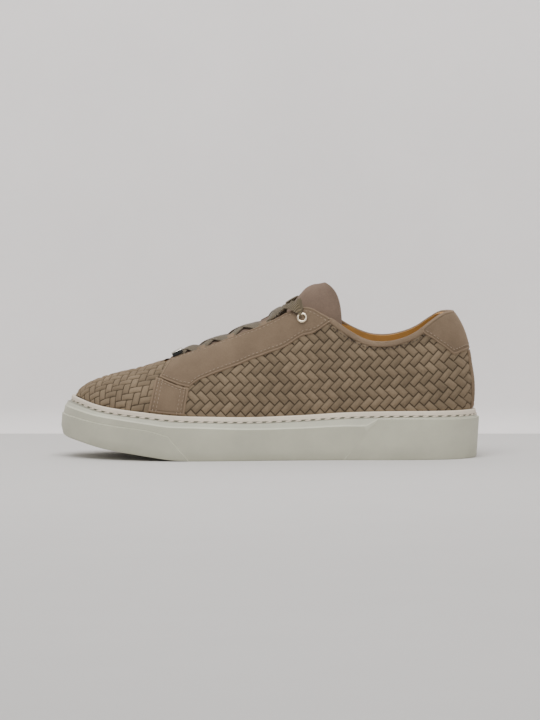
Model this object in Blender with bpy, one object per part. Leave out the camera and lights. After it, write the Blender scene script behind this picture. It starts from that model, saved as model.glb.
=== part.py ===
"""Low-top sneaker, left shoe.

The toe points to -X, the heel to +X, the outer (lateral) side to -Y and the inner
(medial) side to +Y. The shoe stands on z = 0. Everything is in metres.

The plan outline of the sole's lip is one closed curve. A place on it is a side and a
share q of the way from the back of the heel (0) to the tip of the toe (1). The upper
rises from that outline towards an axis line over the foot, as a rounded profile whose
height and fullness come from the table of sections: theta runs from 0 at the foot of
the profile to a right angle at its crown. The overlays, the tongue, the insole and
the cup of the sole are all worked out from these two functions.
"""

import bisect
import functools
import math
from collections import namedtuple

import bmesh
import bpy
import numpy as np
from mathutils import Matrix, Vector

# Overall sizes
LENGTH = 0.300
BALL_WIDTH = 0.107
SOLE_HEIGHT = 0.0347
TOE_SPRING = 0.0182
UPPER_HEIGHT = 0.0885

# Sole
TOE_FLARE = 0.0079
SIDE_FLARE = 0.0030
HEEL_FLARE = 0.0025
LIP_WALL = 0.0026
LIP_DEPTH = 0.0030
LIP_ROUND = 0.0007
GROOVE_WIDTH = 0.0016
RIDGE_WIDTH = 0.0010
PANEL_STEP = 0.0008
LEDGE_RISE = 0.0009
TREAD_EDGE = 0.0016
FOREFOOT_FLOOR = 0.0120
HEEL_FLOOR = 0.0170
TREAD_DEPTH = 0.0015
TREAD_GROOVE = 0.0028
TREAD_RIM = 0.0095
TREAD_PITCH = 0.0130

# Stations, as shares of LENGTH from the heel: the tread's grooves under the heel and
# the forefoot, the hollow of the waist, where the cup's floor thins, where the collar's
# pad ends and where the heel's bulge fades. HEEL_BULGE_TOP is a share of UPPER_HEIGHT.
TREAD_HEEL, TREAD_FOREFOOT, TREAD_WAIST = (0.085, 0.30), (0.535, 0.90), (0.345, 0.500)
FLOOR_THINS = (0.30, 0.72)
PAD_FADE = (0.24, 0.33)
HEEL_BULGE_FADE = (0.02, 0.20)
HEEL_BULGE_TOP = 0.36

# Upper and what is sewn on it
UPPER_WALL = 0.0022
COLLAR_PAD = 0.0020
COLLAR_PAD_REACH = 0.022
OVERLAY = 0.0013
OVERLAY_LIFT = 0.00035
BACK_STAY_WIDTH = 0.019
LIP_COVER = 0.0030
HEEL_BULGE = 0.0010
CLEARANCE = 0.0003

# Tongue, insole, lace and its metal parts
TONGUE_THICKNESS = 0.0030
TONGUE_END_LEAN = 0.0125
INSOLE_THICKNESS = 0.0045
INSOLE_DISH = 0.0010
INSOLE_DISH_EDGE = 0.0090
INSOLE_BEVEL = 0.0008
LACE_WIDTH = 0.0060
LACE_THICKNESS = 0.0011
LACE_STEP = 0.0005
LACE_CLIMB_START, LACE_CLIMB_END = 0.0065, 0.0010
EYELET_RADIUS = 0.0039
EYELET_BARREL = 0.0025
EYELET_BORE = 0.0019
EYELET_RIM = 0.0009
TAG_LENGTH = 0.0080
TAG_WIDTH = 0.0160
TAG_DROP = 0.0034
TAG_THICKNESS = 0.0012

LATERAL, MEDIAL = -1.0, 1.0
SIDE_NAMES = {LATERAL: "lateral", MEDIAL: "medial"}

# The lip's outline. station: share of the lip's length from the heel. lateral and
# medial: shares of half the lip's width.
Outline = namedtuple("Outline", "station lateral medial")
OUTLINE = (
    Outline(0.012, 0.282, 0.282),
    Outline(0.043, 0.510, 0.500),
    Outline(0.095, 0.664, 0.650),
    Outline(0.147, 0.712, 0.700),
    Outline(0.199, 0.732, 0.718),
    Outline(0.302, 0.744, 0.706),
    Outline(0.406, 0.782, 0.686),
    Outline(0.509, 0.856, 0.730),
    Outline(0.613, 0.946, 0.840),
    Outline(0.716, 0.998, 0.950),
    Outline(0.768, 0.988, 0.988),
    Outline(0.820, 0.934, 0.984),
    Outline(0.872, 0.826, 0.929),
    Outline(0.917, 0.684, 0.818),
    Outline(0.958, 0.476, 0.640),
    Outline(0.983, 0.276, 0.470),
)
TOE_TIP_SHIFT = 0.10

# Side view of the sole. station: share of LENGTH from the heel. spring: how far the
# bottom edge is up, as a share of TOE_SPRING. wall, ridge and panel: heights above
# that edge of the lip's top, the ridge line and the row under it, as shares of
# SOLE_HEIGHT.
SoleLine = namedtuple("SoleLine", "station spring wall ridge panel")
SOLE_LINES = (
    SoleLine(0.000, 0.000, 1.000, 0.850, 0.560),
    SoleLine(0.190, 0.000, 1.003, 0.790, 0.560),
    SoleLine(0.262, 0.000, 0.994, 0.706, 0.560),
    SoleLine(0.330, 0.000, 0.975, 0.700, 0.550),
    SoleLine(0.430, 0.000, 0.925, 0.662, 0.520),
    SoleLine(0.548, 0.000, 0.896, 0.645, 0.490),
    SoleLine(0.668, 0.000, 0.915, 0.680, 0.470),
    SoleLine(0.694, 0.002, 0.920, 0.686, 0.468),
    SoleLine(0.740, 0.055, 0.914, 0.672, 0.472),
    SoleLine(0.787, 0.165, 0.898, 0.670, 0.530),
    SoleLine(0.859, 0.340, 0.872, 0.664, 0.516),
    SoleLine(0.907, 0.480, 0.862, 0.654, 0.504),
    SoleLine(0.955, 0.715, 0.858, 0.640, 0.480),
    SoleLine(0.980, 0.855, 0.845, 0.625, 0.470),
    SoleLine(1.000, 1.000, 0.830, 0.615, 0.460),
)
HEEL_LEDGE = 0.830

# How far each row of the side wall stands out, as a share of the local flare: on the
# plain side, round the toe and on the heel block.
WallRow = namedtuple("WallRow", "name side toe heel")
WALL_ROWS = (
    WallRow("edge", -0.25, 0.62, -0.30),
    WallRow("tread edge", 0.10, 0.82, 0.00),
    WallRow("low", 0.48, 0.98, 0.30),
    WallRow("panel", 0.82, 0.84, 0.68),
    WallRow("panel step", 0.84, 0.80, 0.42),
    WallRow("ridge", 1.00, 0.62, 0.38),
    WallRow("ridge top", 0.76, 0.52, 0.34),
    WallRow("groove low", 0.38, 0.38, 0.26),
    WallRow("groove", -0.16, -0.05, -0.20),
    WallRow("lip low", 0.08, 0.05, 0.08),
    WallRow("lip side", 0.00, 0.00, 0.00),
)
LOW_ROW = 0.45

# Diagonal ends of the heel block and of the toe bumper: station at the bottom edge,
# and how far they run towards the heel for each metre that they rise.
HEEL_DIAGONAL, HEEL_SLOPE = 0.326, 0.86
TOE_DIAGONAL, TOE_SLOPE = 0.692, -0.92
LEAN_FADE = 0.20

# Flare of the sole along the shoe, from SIDE_FLARE (0) to TOE_FLARE (1).
Flare = namedtuple("Flare", "station toe")
FLARES = (
    Flare(0.79, 0.00),
    Flare(0.84, 0.07),
    Flare(0.89, 0.24),
    Flare(0.94, 0.58),
    Flare(0.97, 0.86),
    Flare(0.98, 1.00),
)

# Sections of the upper. station: share of LENGTH from the heel. crown: height of the
# closed-over profile above the lip at the heel, as a share of UPPER_HEIGHT.
# fullness: exponent of the rounded profile. axis: sideways place of the crown, as a
# share of half the lip's width.
Section = namedtuple("Section", "station crown fullness axis")
SECTIONS = (
    Section(0.020, 0.915, 3.00, 0.000),
    Section(0.070, 0.915, 2.90, 0.000),
    Section(0.107, 0.980, 2.60, 0.000),
    Section(0.143, 1.120, 2.40, 0.000),
    Section(0.183, 1.370, 2.20, 0.000),
    Section(0.240, 1.600, 2.10, 0.000),
    Section(0.300, 1.520, 2.10, -0.005),
    Section(0.350, 1.260, 2.20, -0.010),
    Section(0.387, 1.130, 2.25, -0.010),
    Section(0.423, 1.070, 2.25, -0.012),
    Section(0.477, 0.890, 2.05, -0.015),
    Section(0.548, 0.712, 2.00, -0.018),
    Section(0.620, 0.580, 2.00, -0.015),
    Section(0.668, 0.505, 2.00, -0.010),
    Section(0.692, 0.474, 2.00, -0.005),
    Section(0.716, 0.438, 2.00, 0.000),
    Section(0.761, 0.376, 2.00, 0.010),
    Section(0.811, 0.324, 2.00, 0.035),
    Section(0.835, 0.304, 2.00, 0.050),
    Section(0.859, 0.288, 2.00, 0.065),
    Section(0.913, 0.268, 2.00, 0.090),
    Section(0.965, 0.258, 2.00, 0.100),
)
TOE_POLE, HEEL_POLE = 0.835, 0.183

# Half of the throat's width round its front, as a share of half the lip's width.
Throat = namedtuple("Throat", "station half")
THROAT_FRONT = (
    Throat(0.692, 0.270),
    Throat(0.727, 0.240),
    Throat(0.743, 0.195),
    Throat(0.753, 0.135),
    Throat(0.761, 0.000),
)
THROAT_BASE = 0.761
THROAT_BLEND = (0.700, 0.733)

# Top edge of the upper along the collar and the throat: height above the lip at the
# heel, as a share of UPPER_HEIGHT.
Edge = namedtuple("Edge", "station lateral medial")
TOP_EDGE = (
    Edge(0.060, 0.786, 0.786),
    Edge(0.089, 0.778, 0.778),
    Edge(0.118, 0.718, 0.720),
    Edge(0.142, 0.656, 0.662),
    Edge(0.166, 0.608, 0.620),
    Edge(0.190, 0.578, 0.594),
    Edge(0.214, 0.560, 0.578),
    Edge(0.238, 0.556, 0.576),
    Edge(0.262, 0.564, 0.586),
    Edge(0.285, 0.592, 0.613),
    Edge(0.309, 0.638, 0.652),
    Edge(0.333, 0.692, 0.702),
    Edge(0.349, 0.732, 0.738),
    Edge(0.381, 0.790, 0.792),
    Edge(0.398, 0.820, 0.820),
    Edge(0.415, 0.832, 0.832),
    Edge(0.432, 0.820, 0.820),
    Edge(0.461, 0.780, 0.780),
    Edge(0.477, 0.748, 0.748),
    Edge(0.524, 0.669, 0.669),
    Edge(0.572, 0.603, 0.603),
    Edge(0.620, 0.538, 0.538),
    Edge(0.668, 0.474, 0.474),
    Edge(0.692, 0.449, 0.449),
    Edge(0.716, 0.420, 0.420),
    Edge(0.733, 0.398, 0.398),
)

# Seams in the side view. height: above the lip at the heel, as a share of
# UPPER_HEIGHT.
Seam = namedtuple("Seam", "station height")
FACING_LOWER = (
    Seam(0.762, 0.264),
    Seam(0.742, 0.240),
    Seam(0.716, 0.208),
    Seam(0.692, 0.192),
    Seam(0.681, 0.226),
    Seam(0.668, 0.252),
    Seam(0.632, 0.302),
    Seam(0.596, 0.344),
    Seam(0.548, 0.411),
    Seam(0.500, 0.469),
    Seam(0.453, 0.538),
    Seam(0.405, 0.616),
    Seam(0.372, 0.682),
    Seam(0.352, 0.724),
)
CROSS_SEAM_ROWS = 4
FACING_TOP_FRONT, FACING_TOP_REAR = 0.733, 0.352
STRAP_TOP_FRONT = Seam(0.770, 0.270)
STRAP_FOOT_FRONT, STRAP_FOOT_REAR = 0.791, 0.703
TAB_LOWER = (
    Seam(0.139, 0.634),
    Seam(0.113, 0.578),
    Seam(0.082, 0.498),
    Seam(0.070, 0.462),
    Seam(0.063, 0.446),
    Seam(0.046, 0.466),
)
TAB_LOWER_BACK = 0.482

# The tongue. swell: how far its middle stands up in the throat, as a share of
# UPPER_HEIGHT. sink: how much lower it stands than the inside of the closed-over
# upper, as a share of its height there. half: half its width, as a share of half the
# lip's width.
TongueRow = namedtuple("TongueRow", "station swell sink half")
TONGUE = (
    TongueRow(0.775, 0.000, 0.000, 0.24),
    TongueRow(0.757, 0.010, 0.000, 0.32),
    TongueRow(0.745, 0.028, 0.000, 0.36),
    TongueRow(0.728, 0.036, 0.000, 0.40),
    TongueRow(0.700, 0.044, 0.000, 0.42),
    TongueRow(0.668, 0.044, 0.000, 0.44),
    TongueRow(0.620, 0.028, 0.000, 0.46),
    TongueRow(0.572, 0.014, 0.000, 0.49),
    TongueRow(0.524, 0.000, 0.025, 0.52),
    TongueRow(0.477, 0.000, 0.050, 0.54),
    TongueRow(0.447, 0.000, 0.092, 0.54),
    TongueRow(0.429, 0.000, 0.080, 0.54),
    TongueRow(0.412, 0.000, 0.066, 0.54),
    TongueRow(0.393, 0.000, 0.062, 0.54),
    TongueRow(0.371, 0.000, 0.092, 0.54),
)
TONGUE_LEAN_START = 0.450
TONGUE_END_CURVE = 1.8
SWELL_SHARE = 0.88
SWELL_AHEAD = 0.008

# Rows of hidden loops that hold the lace, and the top eyelet in the side view.
LACE_ROWS = (0.722, 0.668, 0.599, 0.522)
TOP_CROSS_START = 0.497
EYELET_PLACE = Seam(0.423, 0.745)

# Counts of stations along each side, of rows and of segments
STATIONS = 38
INSOLE_STATIONS = 28
UPPER_ROWS = 9
TONGUE_COLUMNS = 12
OVERLAY_ROWS = 4
FACING_COLUMNS = 24
STRAP_COLUMNS = 6
TAB_COLUMNS = 10
BACK_STAY_ROWS = 7
LACE_RUN = 0.005
TOP_LACE_RUN = 0.0025
ROUND_SEGMENTS = 16


@functools.lru_cache(maxsize=None)
def knots(table, name):
    """Sorted stations, values and slopes of one column of a table."""
    rows = sorted((row.station, getattr(row, name)) for row in table)
    xs = [row[0] for row in rows]
    ys = [row[1] for row in rows]
    slopes = []
    for i in range(len(rows)):
        low, high = max(i - 1, 0), min(i + 1, len(rows) - 1)
        slopes.append((ys[high] - ys[low]) / (xs[high] - xs[low]))
    return xs, ys, slopes


def follow(table, name, station):
    """Smooth value of a table's column at a station, held level past its ends."""
    xs, ys, slopes = knots(table, name)
    if station <= xs[0]:
        return ys[0]
    if station >= xs[-1]:
        return ys[-1]
    i = bisect.bisect_right(xs, station) - 1
    span = xs[i + 1] - xs[i]
    t = (station - xs[i]) / span
    keep, rise = (1 + 2 * t) * (1 - t) ** 2, t * (1 - t) ** 2 * span
    take, fall = t * t * (3 - 2 * t), t * t * (t - 1) * span
    return keep * ys[i] + rise * slopes[i] + take * ys[i + 1] + fall * slopes[i + 1]


def ease(low, high, value):
    """0 up to low, 1 from high on, smooth between."""
    t = min(max((value - low) / (high - low), 0.0), 1.0)
    return t * t * (3 - 2 * t)


def mix(a, b, share):
    return a + (b - a) * share


def station_of(x):
    return 0.5 - x / LENGTH


def x_of(station):
    return (0.5 - station) * LENGTH


def seam_z(height):
    return SOLE_HEIGHT + UPPER_HEIGHT * height


# Plan outline of the lip

LIP_HALF = BALL_WIDTH / 2 - SIDE_FLARE
LIP_HEEL = LENGTH / 2 - HEEL_FLARE
LIP_TOE = -LENGTH / 2 + TOE_FLARE
SPLINE_STEPS = 24


def closed_spline(points):
    """Dense points of a closed curve through the points, smooth in its bend too."""
    points = np.array(points)
    count = len(points)
    steps = np.linalg.norm(np.roll(points, -1, axis=0) - points, axis=1)
    matrix = np.zeros((count, count))
    right = np.zeros((count, 2))
    for i in range(count):
        before, after = steps[i - 1], steps[i]
        matrix[i, i - 1] += before
        matrix[i, i] += 2 * (before + after)
        matrix[i, (i + 1) % count] += after
        rise_after = (points[(i + 1) % count] - points[i]) / after
        rise_before = (points[i] - points[i - 1]) / before
        right[i] = 6 * (rise_after - rise_before)
    bends = np.linalg.solve(matrix, right)
    curve = []
    for i in range(count):
        j, step = (i + 1) % count, steps[i]
        for t in np.linspace(0, step, SPLINE_STEPS, endpoint=False):
            back = step - t
            bend = (bends[i] * back ** 3 + bends[j] * t ** 3) / (6 * step)
            start = (points[i] / step - bends[i] * step / 6) * back
            end = (points[j] / step - bends[j] * step / 6) * t
            curve.append(bend + start + end)
    return np.array(curve)


def lip_sides():
    """Each side's rows of x, y and outward normal, from the heel's tip to the toe's."""
    run = LIP_HEEL - LIP_TOE
    lateral = [(LIP_HEEL - run * r.station, -LIP_HALF * r.lateral) for r in OUTLINE]
    medial = [(LIP_HEEL - run * r.station, LIP_HALF * r.medial) for r in OUTLINE]
    tip = (LIP_TOE, LIP_HALF * TOE_TIP_SHIFT)
    curve = closed_spline([(LIP_HEEL, 0.0)] + lateral + [tip] + medial[::-1])
    along = np.roll(curve, -1, axis=0) - np.roll(curve, 1, axis=0)
    along /= np.linalg.norm(along, axis=1)[:, None]
    rows = np.column_stack((curve, -along[:, 1], along[:, 0]))
    rows = np.roll(rows, -int(np.argmax(rows[:, 0])), axis=0)
    toe = int(np.argmin(rows[:, 0]))
    return {LATERAL: rows[:toe + 1], MEDIAL: np.vstack((rows[:1], rows[:toe - 1:-1]))}


LIP = lip_sides()
LIP_STEPS = np.linalg.norm(np.diff(LIP[LATERAL][:, :2], axis=0), axis=1)
LIP_RUN = float(LIP_STEPS.sum())
LIP_SHARE = np.concatenate(([0.0], np.cumsum(LIP_STEPS))) / LIP_RUN


def lip_x(q):
    return float(np.interp(q, LIP_SHARE, LIP[LATERAL][:, 0]))


def share_at(x):
    """Share q of the outline at a place along the shoe."""
    return float(np.interp(-x, -LIP[LATERAL][:, 0], LIP_SHARE))


@functools.lru_cache(maxsize=None)
def lip_point(side, q):
    """Plan point of the lip's outer edge and its outward normal: x, y, nx, ny."""
    rows = LIP[side]
    x = lip_x(q)
    y, nx, ny = (float(np.interp(-x, -rows[:, 0], rows[:, c])) for c in (1, 2, 3))
    size = math.hypot(nx, ny)
    return x, y, nx / size, ny / size


def inset_point(side, q, inset):
    x, y, nx, ny = lip_point(side, q)
    return x - nx * inset, y - ny * inset


def around(count):
    """Places right round the outline: heel tip, lateral side, toe tip, medial side."""
    shares = [i / count for i in range(count + 1)]
    lateral = [(LATERAL, q) for q in shares]
    return lateral + [(MEDIAL, q) for q in shares[-2:0:-1]]


# Heights along the sole

def bottom_z(x):
    return TOE_SPRING * follow(SOLE_LINES, "spring", station_of(x))


def lip_z(x):
    return bottom_z(x) + SOLE_HEIGHT * follow(SOLE_LINES, "wall", station_of(x))


def floor_z(x):
    """Top of the cup's floor, thicker under the heel."""
    return bottom_z(x) + mix(HEEL_FLOOR, FOREFOOT_FLOOR, ease(*FLOOR_THINS, station_of(x)))


# Mesh helpers

def finish(name, bm, material):
    """Turn a closed mesh into a named, smooth shaded object of triangles, because a
    Boolean takes each face as flat."""
    bmesh.ops.recalc_face_normals(bm, faces=bm.faces)
    bmesh.ops.triangulate(bm, faces=bm.faces)
    mesh = bpy.data.meshes.new(name)
    bm.to_mesh(mesh)
    bm.free()
    mesh.shade_smooth()
    mesh.set_sharp_from_angle(angle=math.radians(35))
    obj = bpy.data.objects.new(name, mesh)
    bpy.context.collection.objects.link(obj)
    if material:
        mesh.materials.append(material)
    return obj


def loft(rings):
    """Closed shell through rings of equal counts, its ends closed by rungs that join
    each lateral point to the medial point across from it."""
    bm = bmesh.new()
    verts = [[bm.verts.new(point) for point in ring] for ring in rings]
    count = len(rings[0])
    for low, high in zip(verts, verts[1:]):
        for i in range(count):
            j = (i + 1) % count
            bm.faces.new((low[i], high[i], high[j], low[j]))
    for ring in (verts[0], verts[-1]):
        for i in range(count // 2):
            rung = (ring[i], ring[i + 1], ring[-i - 1], ring[-i])
            bm.faces.new(list(dict.fromkeys(rung)))
    return bm


def sheet(columns, closed=False):
    """Open sheet through columns of points; a closed one comes round to its start."""
    bm = bmesh.new()
    verts = [[bm.verts.new(point) for point in column] for column in columns]
    pairs = list(zip(verts, verts[1:] + verts[:1] if closed else verts[1:]))
    for near, far in pairs:
        for j in range(len(near) - 1):
            bm.faces.new((near[j], near[j + 1], far[j + 1], far[j]))
    bmesh.ops.remove_doubles(bm, verts=bm.verts, dist=1e-6)
    bm.normal_update()
    return bm


def thicken(bm, depth):
    """Give an open sheet a wall: depth(point) is how far its back lies behind it."""
    fronts, faces = list(bm.verts), list(bm.faces)
    rims = [(edge, edge.link_loops[0]) for edge in bm.edges if edge.is_boundary]
    rims = [(loop.vert, loop.link_loop_next.vert) for _, loop in rims]
    backs = {v: bm.verts.new(v.co - v.normal * depth(v.co)) for v in fronts}
    for face in faces:
        bm.faces.new([backs[v] for v in reversed(face.verts)])
    for start, end in rims:
        bm.faces.new((end, start, backs[start], backs[end]))
    return bm


def slab(fronts, backs):
    """Closed piece between two grids of points that match."""
    bm = bmesh.new()
    grids = []
    for grid in (fronts, backs):
        verts = [[bm.verts.new(point) for point in column] for column in grid]
        for near, far in zip(verts, verts[1:]):
            for j in range(len(near) - 1):
                bm.faces.new((near[j], near[j + 1], far[j + 1], far[j]))
        rim = verts[0] + [column[-1] for column in verts[1:-1]] + verts[-1][::-1]
        grids.append(rim + [column[0] for column in verts[-2:0:-1]])
    front, back = grids
    for i in range(len(front)):
        bm.faces.new((front[i - 1], front[i], back[i], back[i - 1]))
    return bm


def turned(profile, segments):
    """Ring turned about Z from a closed profile of radius and height."""
    bm = bmesh.new()
    rings = []
    for i in range(segments):
        turn = Matrix.Rotation(2 * math.pi * i / segments, 3, "Z")
        rings.append([bm.verts.new(turn @ Vector((r, 0, h))) for r, h in profile])
    count = len(profile)
    for near, far in zip(rings, rings[1:] + rings[:1]):
        for j in range(count):
            k = (j + 1) % count
            bm.faces.new((near[j], far[j], far[k], near[k]))
    return bm


def extruded(outline, along):
    """Prism of a closed outline of 3-D points, moved by the vector along."""
    bm = bmesh.new()
    near = [bm.verts.new(point) for point in outline]
    far = [bm.verts.new(Vector(point) + along) for point in outline]
    bm.faces.new(near)
    bm.faces.new(far[::-1])
    count = len(near)
    for i in range(count):
        j = (i + 1) % count
        bm.faces.new((near[j], near[i], far[i], far[j]))
    return bm


def join(meshes):
    """One mesh that holds several, for a cutter."""
    whole = bmesh.new()
    for bm in meshes:
        part = bpy.data.meshes.new("joined_part")
        bmesh.ops.recalc_face_normals(bm, faces=bm.faces)
        bm.to_mesh(part)
        bm.free()
        whole.from_mesh(part)
        bpy.data.meshes.remove(part)
    return whole


def hide_tool(obj):
    obj.hide_render = True
    obj.display_type = "WIRE"
    return obj


def combine(obj, tool, operation):
    """Boolean with a tool object that stays hidden."""
    boolean = obj.modifiers.new(operation.lower(), "BOOLEAN")
    boolean.operation = operation
    boolean.solver = "EXACT"
    boolean.object = hide_tool(tool)


def plain_material(name, colour, roughness, metallic=0.0):
    material = bpy.data.materials.new(name)
    material.use_nodes = True
    shader = material.node_tree.nodes["Principled BSDF"]
    shader.inputs["Base Color"].default_value = (*colour, 1.0)
    shader.inputs["Roughness"].default_value = roughness
    shader.inputs["Metallic"].default_value = metallic
    material.diffuse_color = (*colour, 1.0)
    return material


# Cup sole

def flare_at(x):
    station = station_of(x)
    heel = mix(HEEL_FLARE, SIDE_FLARE, ease(0.02, 0.12, station))
    return mix(heel, TOE_FLARE, follow(FLARES, "toe", station))


def lean_slope(x):
    """How far the wall's columns run along the shoe for each metre of height, so that
    they lie along both diagonals."""
    station = station_of(x)
    if station < HEEL_DIAGONAL:
        return HEEL_SLOPE * ease(HEEL_DIAGONAL - LEAN_FADE, HEEL_DIAGONAL, station)
    if station > TOE_DIAGONAL:
        return TOE_SLOPE * (1 - ease(TOE_DIAGONAL, TOE_DIAGONAL + LEAN_FADE, station))
    share = (station - HEEL_DIAGONAL) / (TOE_DIAGONAL - HEEL_DIAGONAL)
    return mix(HEEL_SLOPE, TOE_SLOPE, share)


def wall_height(name, x, zone):
    """Height of a row of the side wall above the bottom edge."""
    station = station_of(x)
    top = SOLE_HEIGHT * follow(SOLE_LINES, "wall", station)
    ridge = SOLE_HEIGHT * follow(SOLE_LINES, "ridge", station)
    panel = SOLE_HEIGHT * follow(SOLE_LINES, "panel", station)
    if zone == "heel":
        panel = SOLE_HEIGHT * HEEL_LEDGE
        ridge = panel + LEDGE_RISE
    return {
        "edge": 0.0,
        "tread edge": TREAD_EDGE,
        "low": panel * LOW_ROW,
        "panel": panel,
        "panel step": panel + PANEL_STEP / 2,
        "ridge": ridge,
        "ridge top": ridge + RIDGE_WIDTH / (4 if zone == "heel" else 1),
        "groove low": top - LIP_DEPTH - GROOVE_WIDTH,
        "groove": top - LIP_DEPTH - GROOVE_WIDTH / 2,
        "lip low": top - LIP_DEPTH,
        "lip side": top - LIP_ROUND,
    }[name]


def wall_point(side, q, zone, row):
    """Point of one row of the side wall."""
    x = lip_x(q)
    height = wall_height(row.name, x, zone)
    lean_height = min(height, wall_height("panel step", x, zone))
    q = share_at(x + lean_slope(x) * lean_height) if 0 < q < 1 else q
    x, y, nx, ny = lip_point(side, q)
    toe_share = follow(FLARES, "toe", station_of(x))
    share = row.heel if zone == "heel" else mix(row.side, row.toe, toe_share)
    out = share * flare_at(x)
    raised = row.name in ("edge", "tread edge", "low", "panel")
    if raised and zone != "waist":
        out += PANEL_STEP
    z = bottom_z(x) + wall_height(row.name, x, zone)
    return x + nx * out, y + ny * out, z


def sole_places():
    """Places round the sole's wall with their zone, doubled at the two diagonals."""
    heel_q = share_at(x_of(HEEL_DIAGONAL))
    toe_q = share_at(x_of(TOE_DIAGONAL))
    half_step = PANEL_STEP / 2 / LIP_RUN
    room = 0.4 / STATIONS
    side = []
    for i in range(STATIONS + 1):
        q = i / STATIONS
        if min(abs(q - heel_q), abs(q - toe_q)) > room:
            side.append((q, "heel" if q < heel_q else "toe" if q > toe_q else "waist"))
    side += [(heel_q - half_step, "heel"), (heel_q + half_step, "waist")]
    side += [(toe_q - half_step, "waist"), (toe_q + half_step, "toe")]
    side.sort()
    lateral = [(LATERAL, q, zone) for q, zone in side]
    return lateral + [(MEDIAL, q, zone) for q, zone in side[-2:0:-1]]


def crossbar(low_station, high_station, depth):
    """Shallow prism across the tread, ending inside its rim, that cuts a groove."""
    corners = []
    for station, side in ((low_station, LATERAL), (high_station, LATERAL),
                          (high_station, MEDIAL), (low_station, MEDIAL)):
        x = x_of(station)
        _, y = inset_point(side, share_at(x), TREAD_RIM)
        corners.append((x, y, bottom_z(x) + depth))
    return extruded(corners, Vector((0, 0, -3 * depth)))


def tread_cutter():
    """Grooves of the forefoot and the heel, and the hollow of the waist."""
    bars = []
    half = TREAD_GROOVE / 2 / LENGTH
    pitch = TREAD_PITCH / LENGTH
    for first, last in (TREAD_HEEL, TREAD_FOREFOOT):
        for k in range(int((last - first) / pitch) + 1):
            middle = first + k * pitch
            bars.append(crossbar(middle - half, middle + half, TREAD_DEPTH))
    bars.append(crossbar(*TREAD_WAIST, TREAD_DEPTH))
    return join(bars)


def make_cupsole(material):
    places = sole_places()
    rings = [[wall_point(*place, row) for place in places] for row in WALL_ROWS]
    for inset, drop in ((LIP_ROUND, 0.0), (LIP_WALL, 0.0)):
        ring = []
        for side, q, _ in places:
            x, y = inset_point(side, q, inset)
            ring.append((x, y, lip_z(x) - drop))
        rings.append(ring)
    floor = []
    for side, q, _ in places:
        x, y = inset_point(side, q, LIP_WALL)
        floor.append((x, y, floor_z(x)))
    rings.append(floor)
    cupsole = finish("cupsole", loft(rings), material)
    combine(cupsole, finish("tread_cutter", tread_cutter(), None), "DIFFERENCE")


def make_insole(material):
    edge = LIP_WALL + UPPER_WALL + 3 * CLEARANCE
    rings = []
    for inset, height in ((edge + INSOLE_BEVEL, 0.0), (edge, INSOLE_BEVEL),
                          (edge, INSOLE_THICKNESS),
                          (edge + INSOLE_DISH_EDGE, INSOLE_THICKNESS - INSOLE_DISH)):
        ring = []
        for side, q in around(INSOLE_STATIONS):
            x, y = inset_point(side, q, inset)
            ring.append((x, y, floor_z(x) + CLEARANCE + height))
        rings.append(ring)
    finish("insole", loft(rings), material)


# Surface of the upper

FOOT_INSET = LIP_WALL + 1.3 * CLEARANCE
QUARTER_TURN = math.pi / 2


def axis_y_at(station):
    return LIP_HALF * follow(SECTIONS, "axis", station)


@functools.lru_cache(maxsize=None)
def profile(side, q):
    """What one profile needs: foot point, foot height, normal, axis and fullness."""
    x, y, nx, ny = lip_point(side, q)
    foot_x, foot_y = inset_point(side, q, FOOT_INSET)
    axis_x = min(max(x, x_of(TOE_POLE)), x_of(HEEL_POLE))
    axis_y = axis_y_at(station_of(axis_x))
    full = follow(SECTIONS, "fullness", station_of(x))
    return foot_x, foot_y, lip_z(x) - LIP_COVER, nx, ny, axis_x, axis_y, full


def crown_z(x):
    return seam_z(follow(SECTIONS, "crown", station_of(x)))


def skin(side, q, theta):
    """Point on the outside of the upper."""
    foot_x, foot_y, foot_z, nx, ny, axis_x, axis_y, full = profile(side, q)
    reach = max(math.cos(theta), 0.0) ** (2 / full)
    rise = max(math.sin(theta), 0.0) ** (2 / full)
    x = mix(axis_x, foot_x, reach)
    y = mix(axis_y, foot_y, reach)
    z = mix(foot_z, crown_z(x), rise)
    heel_share = 1 - ease(*HEEL_BULGE_FADE, station_of(foot_x))
    up = (z - foot_z - LIP_COVER) / (HEEL_BULGE_TOP * UPPER_HEIGHT)
    bulge = HEEL_BULGE * heel_share * math.sin(math.pi * min(max(up, 0.0), 1.0))
    return Vector((x + nx * bulge, y + ny * bulge, z))


def beside(side, q, theta, step):
    """Point of the skin a step further round, over the tips too."""
    q += step
    if q < 0 or q > 1:
        side, q = -side, -q if q < 0 else 2 - q
    return skin(side, q, theta)


def skin_normal(side, q, theta):
    theta = min(max(theta, 0.03), QUARTER_TURN - 0.06)
    across = beside(side, q, theta, 0.004) - beside(side, q, theta, -0.004)
    up = skin(side, q, theta + 0.02) - skin(side, q, theta - 0.02)
    return (up.cross(across) * -side).normalized()


def over_skin(side, q, theta, out):
    """Point at a distance out from the upper's outside."""
    return skin(side, q, theta) + skin_normal(side, q, theta) * out


def theta_at(side, q, z):
    """Where a profile reaches a height."""
    low, high = 0.0, QUARTER_TURN
    for _ in range(24):
        middle = (low + high) / 2
        if skin(side, q, middle).z < z:
            low = middle
        else:
            high = middle
    return (low + high) / 2


def height_theta(side, q):
    """Where a profile reaches the top edge given in the side view."""
    low, high = 0.0, QUARTER_TURN
    for _ in range(24):
        middle = (low + high) / 2
        point = skin(side, q, middle)
        height = follow(TOP_EDGE, SIDE_NAMES[side], station_of(point.x))
        if point.z < seam_z(height):
            low = middle
        else:
            high = middle
    return (low + high) / 2


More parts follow.
